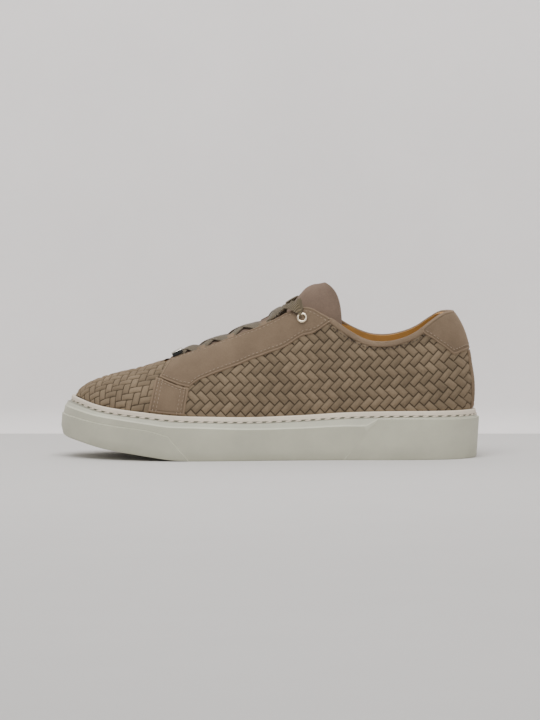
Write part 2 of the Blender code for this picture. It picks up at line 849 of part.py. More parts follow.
@functools.lru_cache(maxsize=None)
def edge_theta(side, q):
    """Where the throat or the collar cuts a profile; a right angle on the vamp."""
    station = station_of(lip_x(q))
    if station < THROAT_BLEND[0]:
        return height_theta(side, q)
    foot_x, foot_y, _, _, _, axis_x, axis_y, full = profile(side, q)
    half = LIP_HALF * follow(THROAT_FRONT, "half", station)
    reach = half / math.hypot(foot_x - axis_x, foot_y - axis_y)
    front = math.acos(reach ** (full / 2))
    if station > THROAT_BLEND[1]:
        return front
    return mix(height_theta(side, q), front, ease(*THROAT_BLEND, station))


@functools.lru_cache(maxsize=None)
def throat_half(side, station):
    """Sideways distance from the crown's line to the throat's edge."""
    if station >= THROAT_BASE:
        return 0.0
    q = share_at(x_of(station))
    return abs(skin(side, q, edge_theta(side, q)).y - axis_y_at(station))


def locate(side, seam):
    """Share q and theta of a point of the skin given in the side view."""
    x, z = x_of(seam.station), seam_z(seam.height)
    low, high = 0.0, 0.9
    for _ in range(24):
        q = (low + high) / 2
        if skin(side, q, theta_at(side, q, z)).x > x:
            low = q
        else:
            high = q
    return q, theta_at(side, q, z)


def upper_shares():
    """Even shares with one on the throat's base and more round its front."""
    base = share_at(x_of(THROAT_BASE))
    step = 1 / STATIONS
    shares = [i * step for i in range(STATIONS + 1)]
    shares = [q for q in shares if abs(q - base) > 0.45 * step]
    shares += [base, base - 0.30 * step]
    return sorted(shares)


def upper_depth(point):
    """Wall of the upper, padded towards the top of the collar."""
    station = station_of(point.x)
    top = seam_z(follow(TOP_EDGE, "lateral", station))
    near_top = 1 - ease(0.0, COLLAR_PAD_REACH, top - point.z)
    return UPPER_WALL + COLLAR_PAD * near_top * (1 - ease(*PAD_FADE, station))


def eyelet_frame(side):
    """Placement of an eyelet: its Z points out of the facing."""
    q, theta = locate(side, EYELET_PLACE)
    normal = skin_normal(side, q, theta)
    seat = over_skin(side, q, theta, OVERLAY_LIFT + OVERLAY + CLEARANCE)
    turn = Vector((0, 0, 1)).rotation_difference(normal).to_matrix().to_4x4()
    return Matrix.Translation(seat) @ turn


def eyelet_cutter():
    """Two round holes, one for each top eyelet."""
    reach = 3 * (OVERLAY + UPPER_WALL)
    pins = []
    for side in (LATERAL, MEDIAL):
        bm = bmesh.new()
        bmesh.ops.create_cone(bm, cap_ends=True, segments=ROUND_SEGMENTS,
                              radius1=EYELET_BARREL + CLEARANCE,
                              radius2=EYELET_BARREL + CLEARANCE, depth=reach)
        bm.transform(eyelet_frame(side))
        pins.append(bm)
    return finish("eyelet_cutter", join(pins), None)


def make_upper(material, cutter):
    shares = upper_shares()
    places = [(LATERAL, q) for q in shares] + [(MEDIAL, q) for q in shares[-2:0:-1]]
    columns = []
    for side, q in places:
        foot_x, foot_y, *_ = profile(side, q)
        edge = edge_theta(side, q)
        column = [(foot_x, foot_y, floor_z(foot_x) + CLEARANCE)]
        column += [skin(side, q, edge * j / UPPER_ROWS) for j in range(UPPER_ROWS + 1)]
        columns.append(column)
    upper = finish("upper", thicken(sheet(columns, closed=True), upper_depth), material)
    combine(upper, cutter, "DIFFERENCE")


# Overlays

def resample(points, count):
    """Evenly spaced points along a chain of (q, theta) pairs."""
    points = np.array(points)
    run = np.concatenate(([0.0], np.cumsum(np.abs(np.diff(points[:, 0])))))
    at = np.linspace(0, run[-1], count)
    return [tuple(float(np.interp(t, run, points[:, c])) for c in (0, 1)) for t in at]


def overlay(side, low, high, rows):
    """An overlay's outside and inside as columns from its lower to its upper edge."""
    faces = []
    for out in (OVERLAY_LIFT + OVERLAY, OVERLAY_LIFT):
        columns = []
        for (q_low, theta_low), (q_high, theta_high) in zip(low, high):
            column = []
            for j in range(rows + 1):
                t = j / rows
                q, theta = mix(q_low, q_high, t), mix(theta_low, theta_high, t)
                column.append(over_skin(side, q, theta, out))
            columns.append(column)
        faces.append(columns)
    return faces


def make_facing(side, material, cutter):
    """Smooth band beside the throat, from its front to the collar's front corner."""
    low = resample([locate(side, seam) for seam in FACING_LOWER], FACING_COLUMNS)
    front, rear = share_at(x_of(FACING_TOP_FRONT)), share_at(x_of(FACING_TOP_REAR))
    shares = np.linspace(front, rear, FACING_COLUMNS)
    high = [(float(q), edge_theta(side, float(q))) for q in shares]
    piece = slab(*overlay(side, low, high, OVERLAY_ROWS))
    facing = finish("facing_" + SIDE_NAMES[side], piece, material)
    combine(facing, cutter, "DIFFERENCE")


def make_strap(side, material):
    """Strap from the facing's lower front edge down to the lip."""
    gap = 2 * CLEARANCE / UPPER_HEIGHT
    top = [STRAP_TOP_FRONT] + list(FACING_LOWER[:CROSS_SEAM_ROWS])
    top = [locate(side, Seam(seam.station, seam.height - gap)) for seam in top]
    high = resample(top, STRAP_COLUMNS)
    front, rear = share_at(x_of(STRAP_FOOT_FRONT)), share_at(x_of(STRAP_FOOT_REAR))
    shares = np.linspace(front, rear, STRAP_COLUMNS)
    low = [(float(q), lip_theta(side, float(q))) for q in shares]
    piece = slab(*overlay(side, low, high, OVERLAY_ROWS + 1))
    finish("strap_" + SIDE_NAMES[side], piece, material)


def lip_theta(side, q):
    """Where a profile comes clear of the sole's lip."""
    return theta_at(side, q, lip_z(lip_x(q)) + 2 * CLEARANCE)


def tab_edge(side):
    """Lower edge of the heel tab, from its front end to the middle of the back."""
    back = (0.0, theta_at(side, 0.0, seam_z(TAB_LOWER_BACK)))
    return [locate(side, seam) for seam in TAB_LOWER] + [back]


def tab_theta(side, q):
    edge = sorted(tab_edge(side))
    return float(np.interp(q, [e[0] for e in edge], [e[1] for e in edge]))


def make_heel_tab(material):
    """Wing-shaped piece round the top of the heel, from side to side over the back."""
    faces = []
    for side in (MEDIAL, LATERAL):
        low = resample(tab_edge(side), TAB_COLUMNS)
        high = [(q, edge_theta(side, q)) for q, _ in low]
        faces.append(overlay(side, low, high, OVERLAY_ROWS))
    fronts, backs = (near + far[-2::-1] for near, far in zip(*faces))
    finish("heel_tab", slab(fronts, backs), material)


def make_back_stay(material):
    """Strip up the middle of the back, from the lip to the tab."""
    half = BACK_STAY_WIDTH / 2 / LIP_RUN
    fronts, backs = [], []
    for side, q in ((MEDIAL, half), (MEDIAL, half / 2), (MEDIAL, 0.0),
                    (LATERAL, half / 2), (LATERAL, half)):
        top_z = skin(side, q, tab_theta(side, q)).z - 2 * CLEARANCE
        low, high = (q, lip_theta(side, q)), (q, theta_at(side, q, top_z))
        front, back = overlay(side, [low], [high], BACK_STAY_ROWS)
        fronts += front
        backs += back
    finish("back_stay", slab(fronts, backs), material)


# Tongue and lace

def side_of(x, y):
    return LATERAL if y < axis_y_at(station_of(x)) else MEDIAL


def skin_height(x, y):
    """Height of the closed-over upper above a point of the plan, beside the throat."""
    _, foot_y, foot_z, _, _, _, axis_y, full = profile(side_of(x, y), share_at(x))
    reach = min(abs(y - axis_y) / abs(foot_y - axis_y), 0.995)
    return mix(foot_z, crown_z(x), (1 - reach ** full) ** (1 / full))


def off_surface(surface, x, y, distance):
    """Height at a distance from a surface, measured square to it."""
    step = 0.0005
    along = (surface(x + step, y) - surface(x - step, y)) / (2 * step)
    across = (surface(x, y + step) - surface(x, y - step)) / (2 * step)
    return surface(x, y) + distance * math.sqrt(1 + along * along + across * across)


def tongue_height(x, y):
    """Top of the tongue: inside the upper, and swollen up in the throat."""
    station, side = station_of(x), side_of(x, y)
    inside = off_surface(skin_height, x, y, -(UPPER_WALL + 3 * CLEARANCE))
    foot_z = profile(side, share_at(x))[2]
    base = mix(inside, foot_z, follow(TONGUE, "sink", station))
    half = SWELL_SHARE * throat_half(side, round(station + SWELL_AHEAD, 5))
    across = abs(y - axis_y_at(station))
    if across >= half:
        return base
    swell = UPPER_HEIGHT * follow(TONGUE, "swell", station)
    return base + swell * (1 - (across / half) ** 2) ** 2


def make_tongue(material):
    columns = []
    for row in TONGUE:
        lean = TONGUE_END_LEAN * (1 - ease(TONGUE[-1].station, TONGUE_LEAN_START, row.station))
        middle = axis_y_at(row.station)
        column = []
        for k in range(TONGUE_COLUMNS + 1):
            across = 2 * k / TONGUE_COLUMNS - 1
            x = x_of(row.station) + lean * (1 - (1 - across * across) ** TONGUE_END_CURVE)
            y = middle + LIP_HALF * row.half * across
            column.append((x, y, tongue_height(x, y)))
        columns.append(column)
    tongue = sheet(columns)
    finish("tongue", thicken(turn_up(tongue), lambda _: TONGUE_THICKNESS), material)


def turn_up(bm):
    """Turn a sheet's faces so that they look upwards."""
    if sum(face.normal.z for face in bm.faces) < 0:
        bmesh.ops.reverse_faces(bm, faces=bm.faces)
        bm.normal_update()
    return bm


def facing_height(x, y):
    """Closed-over upper beside the throat, carried level across the throat."""
    side, middle = side_of(x, y), axis_y_at(station_of(x))
    half = throat_half(side, round(station_of(x), 5))
    return skin_height(x, middle + side * max(abs(y - middle), half))


def lace_bed(x, y):
    """What the lace lies on: the tongue, and beside the throat the facing."""
    station = station_of(x)
    edge = throat_half(side_of(x, y), round(station, 5)) - UPPER_WALL
    out = ease(edge - LACE_CLIMB_START, edge - LACE_CLIMB_END, abs(y - axis_y_at(station)))
    facing = off_surface(facing_height, x, y, OVERLAY_LIFT + OVERLAY)
    return mix(tongue_height(x, y), facing, out)


def lace_strip(start, end, lift, bed, step=LACE_RUN):
    """Flat strip of lace between two plan points, laid on its bed."""
    start, end = Vector(start), Vector(end)
    run = end - start
    side = Vector((-run.y, run.x)).normalized() * LACE_WIDTH / 2
    steps = max(3, round(run.length / step))
    columns = []
    for i in range(steps + 1):
        column = []
        for k in (-1, 0, 1):
            point = start + run * (i / steps) + side * k
            z = off_surface(bed, point.x, point.y, 2 * CLEARANCE + lift + LACE_THICKNESS)
            column.append((point.x, point.y, z))
        columns.append(column)
    return thicken(turn_up(sheet(columns)), lambda _: LACE_THICKNESS)


def loop_point(station, side):
    """Where the lace comes up to the facing's edge."""
    x = x_of(station)
    reach = throat_half(side, station) - UPPER_WALL - 2 * CLEARANCE - LACE_WIDTH / 2
    return x, axis_y_at(station) + side * reach


def make_lace(material):
    """Lowest bar, the crossings above it and the two strands to the top eyelets."""
    strips = [lace_strip(loop_point(LACE_ROWS[0], LATERAL), loop_point(LACE_ROWS[0], MEDIAL),
                         LACE_STEP / 2, tongue_height)]
    for low, high in zip(LACE_ROWS, LACE_ROWS[1:]):
        for side, lift in ((LATERAL, 0.0), (MEDIAL, LACE_STEP)):
            strips.append(lace_strip(loop_point(low, side), loop_point(high, -side),
                                     lift, tongue_height))
    for side, lift in ((LATERAL, 0.0), (MEDIAL, LACE_STEP)):
        eyelet = eyelet_frame(-side).translation
        start = Vector(loop_point(TOP_CROSS_START, side))
        end = Vector((eyelet.x, eyelet.y))
        stop = (end - start).normalized() * (EYELET_RADIUS + 2 * CLEARANCE)
        strips.append(lace_strip(start, end - stop, lift, lace_bed, TOP_LACE_RUN))
        strips.append(lace_strip(loop_point(LACE_ROWS[-1], side), start,
                                 lift + LACE_STEP / 4, tongue_height))
    lace = finish("lace", strips[0], material)
    for number, strip in enumerate(strips[1:]):
        combine(lace, finish("lace_strip_%d" % number, strip, None), "UNION")


def make_eyelet(side, material):
    """Turned metal ring with a barrel through the facing and the upper."""
    depth = OVERLAY + UPPER_WALL + CLEARANCE
    middle = (EYELET_RADIUS + EYELET_BORE) / 2
    outline = ((EYELET_BORE, 0.3 * EYELET_RIM), (EYELET_BORE + 0.0006, EYELET_RIM),
               (middle, 1.15 * EYELET_RIM), (EYELET_RADIUS - 0.0003, 0.7 * EYELET_RIM),
               (EYELET_RADIUS, 0.0), (EYELET_BARREL, 0.0), (EYELET_BARREL, -depth),
               (EYELET_BORE, -depth))
    eyelet = finish("eyelet_" + SIDE_NAMES[side], turned(outline, ROUND_SEGMENTS), material)
    eyelet.matrix_world = eyelet_frame(side)


def make_lace_tag(material):
    """Metal saddle over the lowest bar, its two ends bent down."""
    x = x_of(LACE_ROWS[0])
    middle = axis_y_at(LACE_ROWS[0])
    seat = tongue_height(x, middle) + LACE_THICKNESS + LACE_STEP + 4 * CLEARANCE
    end = TAG_LENGTH / 2
    slope = (tongue_height(x + end, middle) - tongue_height(x - end, middle)) / TAG_LENGTH
    half, wall, drop, bend = TAG_WIDTH / 2, TAG_THICKNESS, TAG_DROP, TAG_THICKNESS * 0.7
    right = [(half - wall, -drop + wall), (half, -drop + wall), (half, wall - bend),
             (half - bend, wall)]
    left = [(-y, z) for y, z in reversed(right)]
    outline = right + left + [(-half + wall, 0.0), (half - wall, 0.0)]
    points = [(-end, y, z) for y, z in outline]
    tag = finish("lace_tag", extruded(points, Vector((TAG_LENGTH, 0, 0))), material)
    tag.location = (x, middle, seat)
    tag.rotation_euler = (0, -math.atan(slope), 0)


def main():
    for obj in list(bpy.data.objects):
        bpy.data.objects.remove(obj)
    rubber = plain_material("rubber_off_white", (0.40, 0.41, 0.35), 0.55)
    woven = plain_material("suede_woven_taupe", (0.17, 0.125, 0.085), 0.95)
    suede = plain_material("suede_smooth_taupe", (0.185, 0.135, 0.10), 0.9)
    tongue_suede = plain_material("suede_tongue", (0.17, 0.12, 0.09), 0.9)
    leather = plain_material("leather_tan", (0.22, 0.13, 0.055), 0.5)
    cotton = plain_material("cotton_olive", (0.13, 0.115, 0.075), 0.85)
    metal = plain_material("metal_champagne", (0.80, 0.76, 0.68), 0.2, 1.0)

    make_cupsole(rubber)
    make_insole(leather)
    cutter = eyelet_cutter()
    make_upper(woven, cutter)
    for side in (LATERAL, MEDIAL):
        make_facing(side, suede, cutter)
        make_strap(side, suede)
        make_eyelet(side, metal)
    make_heel_tab(suede)
    make_back_stay(suede)
    make_tongue(tongue_suede)
    make_lace(cotton)
    make_lace_tag(metal)


main()
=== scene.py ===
"""Looks of a left low-top sneaker: woven and smooth suede, laces and a cup sole.

The toe points to -X, the heel to +X, the outer side to -Y. Everything is in metres.
A place on the upper is a side, a share q of the way from the back of the heel to the
tip of the toe along the sole's lip, and an angle theta up the rounded profile there.
"""

import bisect
import functools
import math
from collections import namedtuple

import bmesh
import bpy
import numpy as np
from bpy.props import FloatProperty, FloatVectorProperty, PointerProperty
from mathutils import Matrix, Vector


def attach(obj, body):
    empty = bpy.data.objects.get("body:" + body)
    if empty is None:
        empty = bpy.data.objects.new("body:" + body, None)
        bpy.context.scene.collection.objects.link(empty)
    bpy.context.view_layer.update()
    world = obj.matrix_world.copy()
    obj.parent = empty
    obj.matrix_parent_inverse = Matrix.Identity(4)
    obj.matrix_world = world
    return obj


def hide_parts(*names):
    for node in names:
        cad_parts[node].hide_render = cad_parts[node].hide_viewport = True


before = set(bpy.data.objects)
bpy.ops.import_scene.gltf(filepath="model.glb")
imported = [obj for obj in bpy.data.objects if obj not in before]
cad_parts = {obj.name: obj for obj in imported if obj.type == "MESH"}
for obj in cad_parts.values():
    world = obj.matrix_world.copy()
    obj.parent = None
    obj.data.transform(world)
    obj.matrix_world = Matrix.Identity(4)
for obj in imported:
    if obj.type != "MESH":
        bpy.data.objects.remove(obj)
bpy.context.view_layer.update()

bl_info = {
    "name": "Low-top sneaker looks",
    "version": (1, 0, 0),
    "blender": (4, 5, 0),
    "location": "3D View > Sidebar > Sneaker",
    "description": "Dresses the packed sneaker: weave, suede overlays, stitches, laces, sole",
    "category": "Object",
}

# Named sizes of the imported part
LENGTH = 0.300
BALL_WIDTH = 0.107
SOLE_HEIGHT = 0.0347
TOE_SPRING = 0.0182
UPPER_HEIGHT = 0.0885
TOE_FLARE = 0.0079
SIDE_FLARE = 0.0030
HEEL_FLARE = 0.0025
LIP_WALL = 0.0026
LIP_DEPTH = 0.0030
LIP_ROUND = 0.0007
GROOVE_WIDTH = 0.0016
RIDGE_WIDTH = 0.0010
PANEL_STEP = 0.0008
LEDGE_RISE = 0.0009
TREAD_EDGE = 0.0016
TREAD_DEPTH = 0.0015
FOREFOOT_FLOOR = 0.0120
HEEL_FLOOR = 0.0170
UPPER_WALL = 0.0022
COLLAR_PAD = 0.0020
COLLAR_PAD_REACH = 0.022
OVERLAY = 0.0013
OVERLAY_LIFT = 0.00035
BACK_STAY_WIDTH = 0.019
LIP_COVER = 0.0030
HEEL_BULGE = 0.0010
CLEARANCE = 0.0003
TONGUE_THICKNESS = 0.0030
TONGUE_END_LEAN = 0.0125
LACE_WIDTH = 0.0060
LACE_THICKNESS = 0.0011
LACE_STEP = 0.0005
EYELET_RADIUS = 0.0039
EYELET_BARREL = 0.0025
EYELET_BORE = 0.0019
EYELET_RIM = 0.0009
TAG_LENGTH = 0.0080
TAG_WIDTH = 0.0160
TAG_DROP = 0.0034
TAG_THICKNESS = 0.0012

LATERAL, MEDIAL = -1.0, 1.0
SIDE_NAMES = {LATERAL: "lateral", MEDIAL: "medial"}

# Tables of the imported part, as shares of the named sizes
Outline = namedtuple("Outline", "station lateral medial")
OUTLINE = (
    Outline(0.012, 0.282, 0.282),
    Outline(0.043, 0.510, 0.500),
    Outline(0.095, 0.664, 0.650),
    Outline(0.147, 0.712, 0.700),
    Outline(0.199, 0.732, 0.718),
    Outline(0.302, 0.744, 0.706),
    Outline(0.406, 0.782, 0.686),
    Outline(0.509, 0.856, 0.730),
    Outline(0.613, 0.946, 0.840),
    Outline(0.716, 0.998, 0.950),
    Outline(0.768, 0.988, 0.988),
    Outline(0.820, 0.934, 0.984),
    Outline(0.872, 0.826, 0.929),
    Outline(0.917, 0.684, 0.818),
    Outline(0.958, 0.476, 0.640),
    Outline(0.983, 0.276, 0.470),
)
TOE_TIP_SHIFT = 0.10

SoleLine = namedtuple("SoleLine", "station spring wall ridge panel")
SOLE_LINES = (
    SoleLine(0.000, 0.000, 1.000, 0.850, 0.560),
    SoleLine(0.190, 0.000, 1.003, 0.790, 0.560),
    SoleLine(0.262, 0.000, 0.994, 0.706, 0.560),
    SoleLine(0.330, 0.000, 0.975, 0.700, 0.550),
    SoleLine(0.430, 0.000, 0.925, 0.662, 0.520),
    SoleLine(0.548, 0.000, 0.896, 0.645, 0.490),
    SoleLine(0.668, 0.000, 0.915, 0.680, 0.470),
    SoleLine(0.694, 0.002, 0.920, 0.686, 0.468),
    SoleLine(0.740, 0.055, 0.914, 0.672, 0.472),
    SoleLine(0.787, 0.165, 0.898, 0.670, 0.530),
    SoleLine(0.859, 0.340, 0.872, 0.664, 0.516),
    SoleLine(0.907, 0.480, 0.862, 0.654, 0.504),
    SoleLine(0.955, 0.715, 0.858, 0.640, 0.480),
    SoleLine(0.980, 0.855, 0.845, 0.625, 0.470),
    SoleLine(1.000, 1.000, 0.830, 0.615, 0.460),
)
HEEL_LEDGE = 0.830

# The wall's rows: share of the local flare on the plain side, the toe and the heel
WallRow = namedtuple("WallRow", "name side toe heel")
WALL_ROWS = (
    WallRow("edge", -0.25, 0.62, -0.30),
    WallRow("tread edge", 0.10, 0.82, 0.00),
    WallRow("low", 0.48, 0.98, 0.30),
    WallRow("panel", 0.82, 0.84, 0.68),
    WallRow("panel step", 0.84, 0.80, 0.42),
    WallRow("ridge", 1.00, 0.62, 0.38),
    WallRow("ridge top", 0.76, 0.52, 0.34),
    WallRow("groove low", 0.38, 0.38, 0.26),
    WallRow("groove", -0.16, -0.05, -0.20),
    WallRow("lip low", 0.08, 0.05, 0.08),
    WallRow("lip side", 0.00, 0.00, 0.00),
)
LOW_ROW = 0.45
HEEL_DIAGONAL, HEEL_SLOPE = 0.326, 0.86
TOE_DIAGONAL, TOE_SLOPE = 0.692, -0.92
LEAN_FADE = 0.20

Flare = namedtuple("Flare", "station toe")
FLARES = (
    Flare(0.79, 0.00),
    Flare(0.84, 0.07),
    Flare(0.89, 0.24),
    Flare(0.94, 0.58),
    Flare(0.97, 0.86),
    Flare(0.98, 1.00),
)

Section = namedtuple("Section", "station crown fullness axis")
SECTIONS = (
    Section(0.020, 0.915, 3.00, 0.000),
    Section(0.070, 0.915, 2.90, 0.000),
    Section(0.107, 0.980, 2.60, 0.000),
    Section(0.143, 1.120, 2.40, 0.000),
    Section(0.183, 1.370, 2.20, 0.000),
    Section(0.240, 1.600, 2.10, 0.000),
    Section(0.300, 1.520, 2.10, -0.005),
    Section(0.350, 1.260, 2.20, -0.010),
    Section(0.387, 1.130, 2.25, -0.010),
    Section(0.423, 1.070, 2.25, -0.012),
    Section(0.477, 0.890, 2.05, -0.015),
    Section(0.548, 0.712, 2.00, -0.018),
    Section(0.620, 0.580, 2.00, -0.015),
    Section(0.668, 0.505, 2.00, -0.010),
    Section(0.692, 0.474, 2.00, -0.005),
    Section(0.716, 0.438, 2.00, 0.000),
    Section(0.761, 0.376, 2.00, 0.010),
    Section(0.811, 0.324, 2.00, 0.035),
    Section(0.835, 0.304, 2.00, 0.050),
    Section(0.859, 0.288, 2.00, 0.065),
    Section(0.913, 0.268, 2.00, 0.090),
    Section(0.965, 0.258, 2.00, 0.100),
)
TOE_POLE, HEEL_POLE = 0.835, 0.183

Throat = namedtuple("Throat", "station half")
THROAT_FRONT = (
    Throat(0.692, 0.270),
    Throat(0.727, 0.240),
    Throat(0.743, 0.195),
    Throat(0.753, 0.135),
    Throat(0.761, 0.000),
)
THROAT_BASE = 0.761
THROAT_BLEND = (0.700, 0.733)

Edge = namedtuple("Edge", "station lateral medial")
TOP_EDGE = (
    Edge(0.060, 0.786, 0.786),
    Edge(0.089, 0.778, 0.778),
    Edge(0.118, 0.718, 0.720),
    Edge(0.142, 0.656, 0.662),
    Edge(0.166, 0.608, 0.620),
    Edge(0.190, 0.578, 0.594),
    Edge(0.214, 0.560, 0.578),
    Edge(0.238, 0.556, 0.576),
    Edge(0.262, 0.564, 0.586),
    Edge(0.285, 0.592, 0.613),
    Edge(0.309, 0.638, 0.652),
    Edge(0.333, 0.692, 0.702),
    Edge(0.349, 0.732, 0.738),
    Edge(0.381, 0.790, 0.792),
    Edge(0.398, 0.820, 0.820),
    Edge(0.415, 0.832, 0.832),
    Edge(0.432, 0.820, 0.820),
    Edge(0.461, 0.780, 0.780),
    Edge(0.477, 0.748, 0.748),
    Edge(0.524, 0.669, 0.669),
    Edge(0.572, 0.603, 0.603),
    Edge(0.620, 0.538, 0.538),
    Edge(0.668, 0.474, 0.474),
    Edge(0.692, 0.449, 0.449),
    Edge(0.716, 0.420, 0.420),
    Edge(0.733, 0.398, 0.398),
)

Seam = namedtuple("Seam", "station height")
FACING_LOWER = (
    Seam(0.762, 0.264),
    Seam(0.742, 0.240),
    Seam(0.716, 0.208),
    Seam(0.692, 0.192),
    Seam(0.681, 0.226),
    Seam(0.668, 0.252),
    Seam(0.632, 0.302),
    Seam(0.596, 0.344),
    Seam(0.548, 0.411),
    Seam(0.500, 0.469),
    Seam(0.453, 0.538),
    Seam(0.405, 0.616),
    Seam(0.372, 0.682),
    Seam(0.352, 0.724),
)
CROSS_SEAM_ROWS = 4
FACING_TOP_FRONT, FACING_TOP_REAR = 0.733, 0.352
STRAP_TOP_FRONT = Seam(0.770, 0.270)
STRAP_FOOT_FRONT, STRAP_FOOT_REAR = 0.791, 0.703
TAB_LOWER = (
    Seam(0.139, 0.634),
    Seam(0.113, 0.578),
    Seam(0.082, 0.498),
    Seam(0.070, 0.462),
    Seam(0.063, 0.446),
    Seam(0.046, 0.466),
)
TAB_LOWER_BACK = 0.482

TongueRow = namedtuple("TongueRow", "station swell sink half")
TONGUE = (
    TongueRow(0.775, 0.000, 0.000, 0.24),
    TongueRow(0.757, 0.010, 0.000, 0.32),
    TongueRow(0.745, 0.028, 0.000, 0.36),
    TongueRow(0.728, 0.036, 0.000, 0.40),
    TongueRow(0.700, 0.044, 0.000, 0.42),
    TongueRow(0.668, 0.044, 0.000, 0.44),
    TongueRow(0.620, 0.028, 0.000, 0.46),
    TongueRow(0.572, 0.014, 0.000, 0.49),
    TongueRow(0.524, 0.000, 0.025, 0.52),
    TongueRow(0.477, 0.000, 0.050, 0.54),
    TongueRow(0.447, 0.000, 0.092, 0.54),
    TongueRow(0.429, 0.000, 0.080, 0.54),
    TongueRow(0.412, 0.000, 0.066, 0.54),
    TongueRow(0.393, 0.000, 0.062, 0.54),
    TongueRow(0.371, 0.000, 0.092, 0.54),
)
TONGUE_LEAN_START = 0.450
SWELL_SHARE = 0.88
SWELL_AHEAD = 0.008

LACE_ROWS = (0.722, 0.668, 0.599, 0.522)
TOP_CROSS_START = 0.497
EYELET_PLACE = Seam(0.423, 0.745)


# Values along the shoe

@functools.lru_cache(maxsize=None)
def knots(table, name):
    rows = sorted((row.station, getattr(row, name)) for row in table)
    xs = [row[0] for row in rows]
    ys = [row[1] for row in rows]
    slopes = []
    for i in range(len(rows)):
        low, high = max(i - 1, 0), min(i + 1, len(rows) - 1)
        slopes.append((ys[high] - ys[low]) / (xs[high] - xs[low]))
    return xs, ys, slopes


@functools.lru_cache(maxsize=None)
def follow(table, name, station):
    """Smooth value of a table's column at a station."""
    xs, ys, slopes = knots(table, name)
    if station <= xs[0]:
        return ys[0]
    if station >= xs[-1]:
        return ys[-1]
    i = bisect.bisect_right(xs, station) - 1
    span = xs[i + 1] - xs[i]
    t = (station - xs[i]) / span
    keep, rise = (1 + 2 * t) * (1 - t) ** 2, t * (1 - t) ** 2 * span
    take, fall = t * t * (3 - 2 * t), t * t * (t - 1) * span
    return keep * ys[i] + rise * slopes[i] + take * ys[i + 1] + fall * slopes[i + 1]


def ease(low, high, value):
    t = min(max((value - low) / (high - low), 0.0), 1.0)
    return t * t * (3 - 2 * t)


def mix(a, b, share):
    return a + (b - a) * share


def station_of(x):
    return 0.5 - x / LENGTH


def x_of(station):
    return (0.5 - station) * LENGTH


def seam_z(height):
    return SOLE_HEIGHT + UPPER_HEIGHT * height


# The lip's outline

LIP_HALF = BALL_WIDTH / 2 - SIDE_FLARE
LIP_HEEL = LENGTH / 2 - HEEL_FLARE
LIP_TOE = -LENGTH / 2 + TOE_FLARE
SPLINE_STEPS = 24


def closed_spline(points):
    points = np.array(points)
    count = len(points)
    steps = np.linalg.norm(np.roll(points, -1, axis=0) - points, axis=1)
    matrix = np.zeros((count, count))
    right = np.zeros((count, 2))
    for i in range(count):
        before, after = steps[i - 1], steps[i]
        matrix[i, i - 1] += before
        matrix[i, i] += 2 * (before + after)
        matrix[i, (i + 1) % count] += after
        rise_after = (points[(i + 1) % count] - points[i]) / after
        rise_before = (points[i] - points[i - 1]) / before
        right[i] = 6 * (rise_after - rise_before)
    bends = np.linalg.solve(matrix, right)
    curve = []
    for i in range(count):
        j, step = (i + 1) % count, steps[i]
        for t in np.linspace(0, step, SPLINE_STEPS, endpoint=False):
            back = step - t
            bend = (bends[i] * back ** 3 + bends[j] * t ** 3) / (6 * step)
            start = (points[i] / step - bends[i] * step / 6) * back
            end = (points[j] / step - bends[j] * step / 6) * t
            curve.append(bend + start + end)
    return np.array(curve)


def lip_sides():
    """Each side's rows of x, y and outward normal, from the heel's tip to the toe's."""
    run = LIP_HEEL - LIP_TOE
    lateral = [(LIP_HEEL - run * r.station, -LIP_HALF * r.lateral) for r in OUTLINE]
    medial = [(LIP_HEEL - run * r.station, LIP_HALF * r.medial) for r in OUTLINE]
    tip = (LIP_TOE, LIP_HALF * TOE_TIP_SHIFT)
    curve = closed_spline([(LIP_HEEL, 0.0)] + lateral + [tip] + medial[::-1])
    along = np.roll(curve, -1, axis=0) - np.roll(curve, 1, axis=0)
    along /= np.linalg.norm(along, axis=1)[:, None]
    rows = np.column_stack((curve, -along[:, 1], along[:, 0]))
    rows = np.roll(rows, -int(np.argmax(rows[:, 0])), axis=0)
    toe = int(np.argmin(rows[:, 0]))
    return {LATERAL: rows[:toe + 1], MEDIAL: np.vstack((rows[:1], rows[:toe - 1:-1]))}


LIP = lip_sides()
LIP_STEPS = np.linalg.norm(np.diff(LIP[LATERAL][:, :2], axis=0), axis=1)
LIP_RUN = float(LIP_STEPS.sum())
LIP_SHARE = np.concatenate(([0.0], np.cumsum(LIP_STEPS))) / LIP_RUN


def lip_x(q):
    return float(np.interp(q, LIP_SHARE, LIP[LATERAL][:, 0]))


def share_at(x):
    return float(np.interp(-x, -LIP[LATERAL][:, 0], LIP_SHARE))


@functools.lru_cache(maxsize=None)
def lip_point(side, q):
    rows = LIP[side]
    x = lip_x(q)
    y, nx, ny = (float(np.interp(-x, -rows[:, 0], rows[:, c])) for c in (1, 2, 3))
    size = math.hypot(nx, ny)
    return x, y, nx / size, ny / size


def inset_point(side, q, inset):
    x, y, nx, ny = lip_point(side, q)
    return x - nx * inset, y - ny * inset


def bottom_z(x):
    return TOE_SPRING * follow(SOLE_LINES, "spring", station_of(x))


def lip_z(x):
    return bottom_z(x) + SOLE_HEIGHT * follow(SOLE_LINES, "wall", station_of(x))


def floor_z(x):
    return bottom_z(x) + mix(HEEL_FLOOR, FOREFOOT_FLOOR, ease(0.30, 0.72, station_of(x)))


# The upper's outside

FOOT_INSET = LIP_WALL + 1.3 * CLEARANCE
QUARTER_TURN = math.pi / 2


def axis_y_at(station):
    return LIP_HALF * follow(SECTIONS, "axis", station)


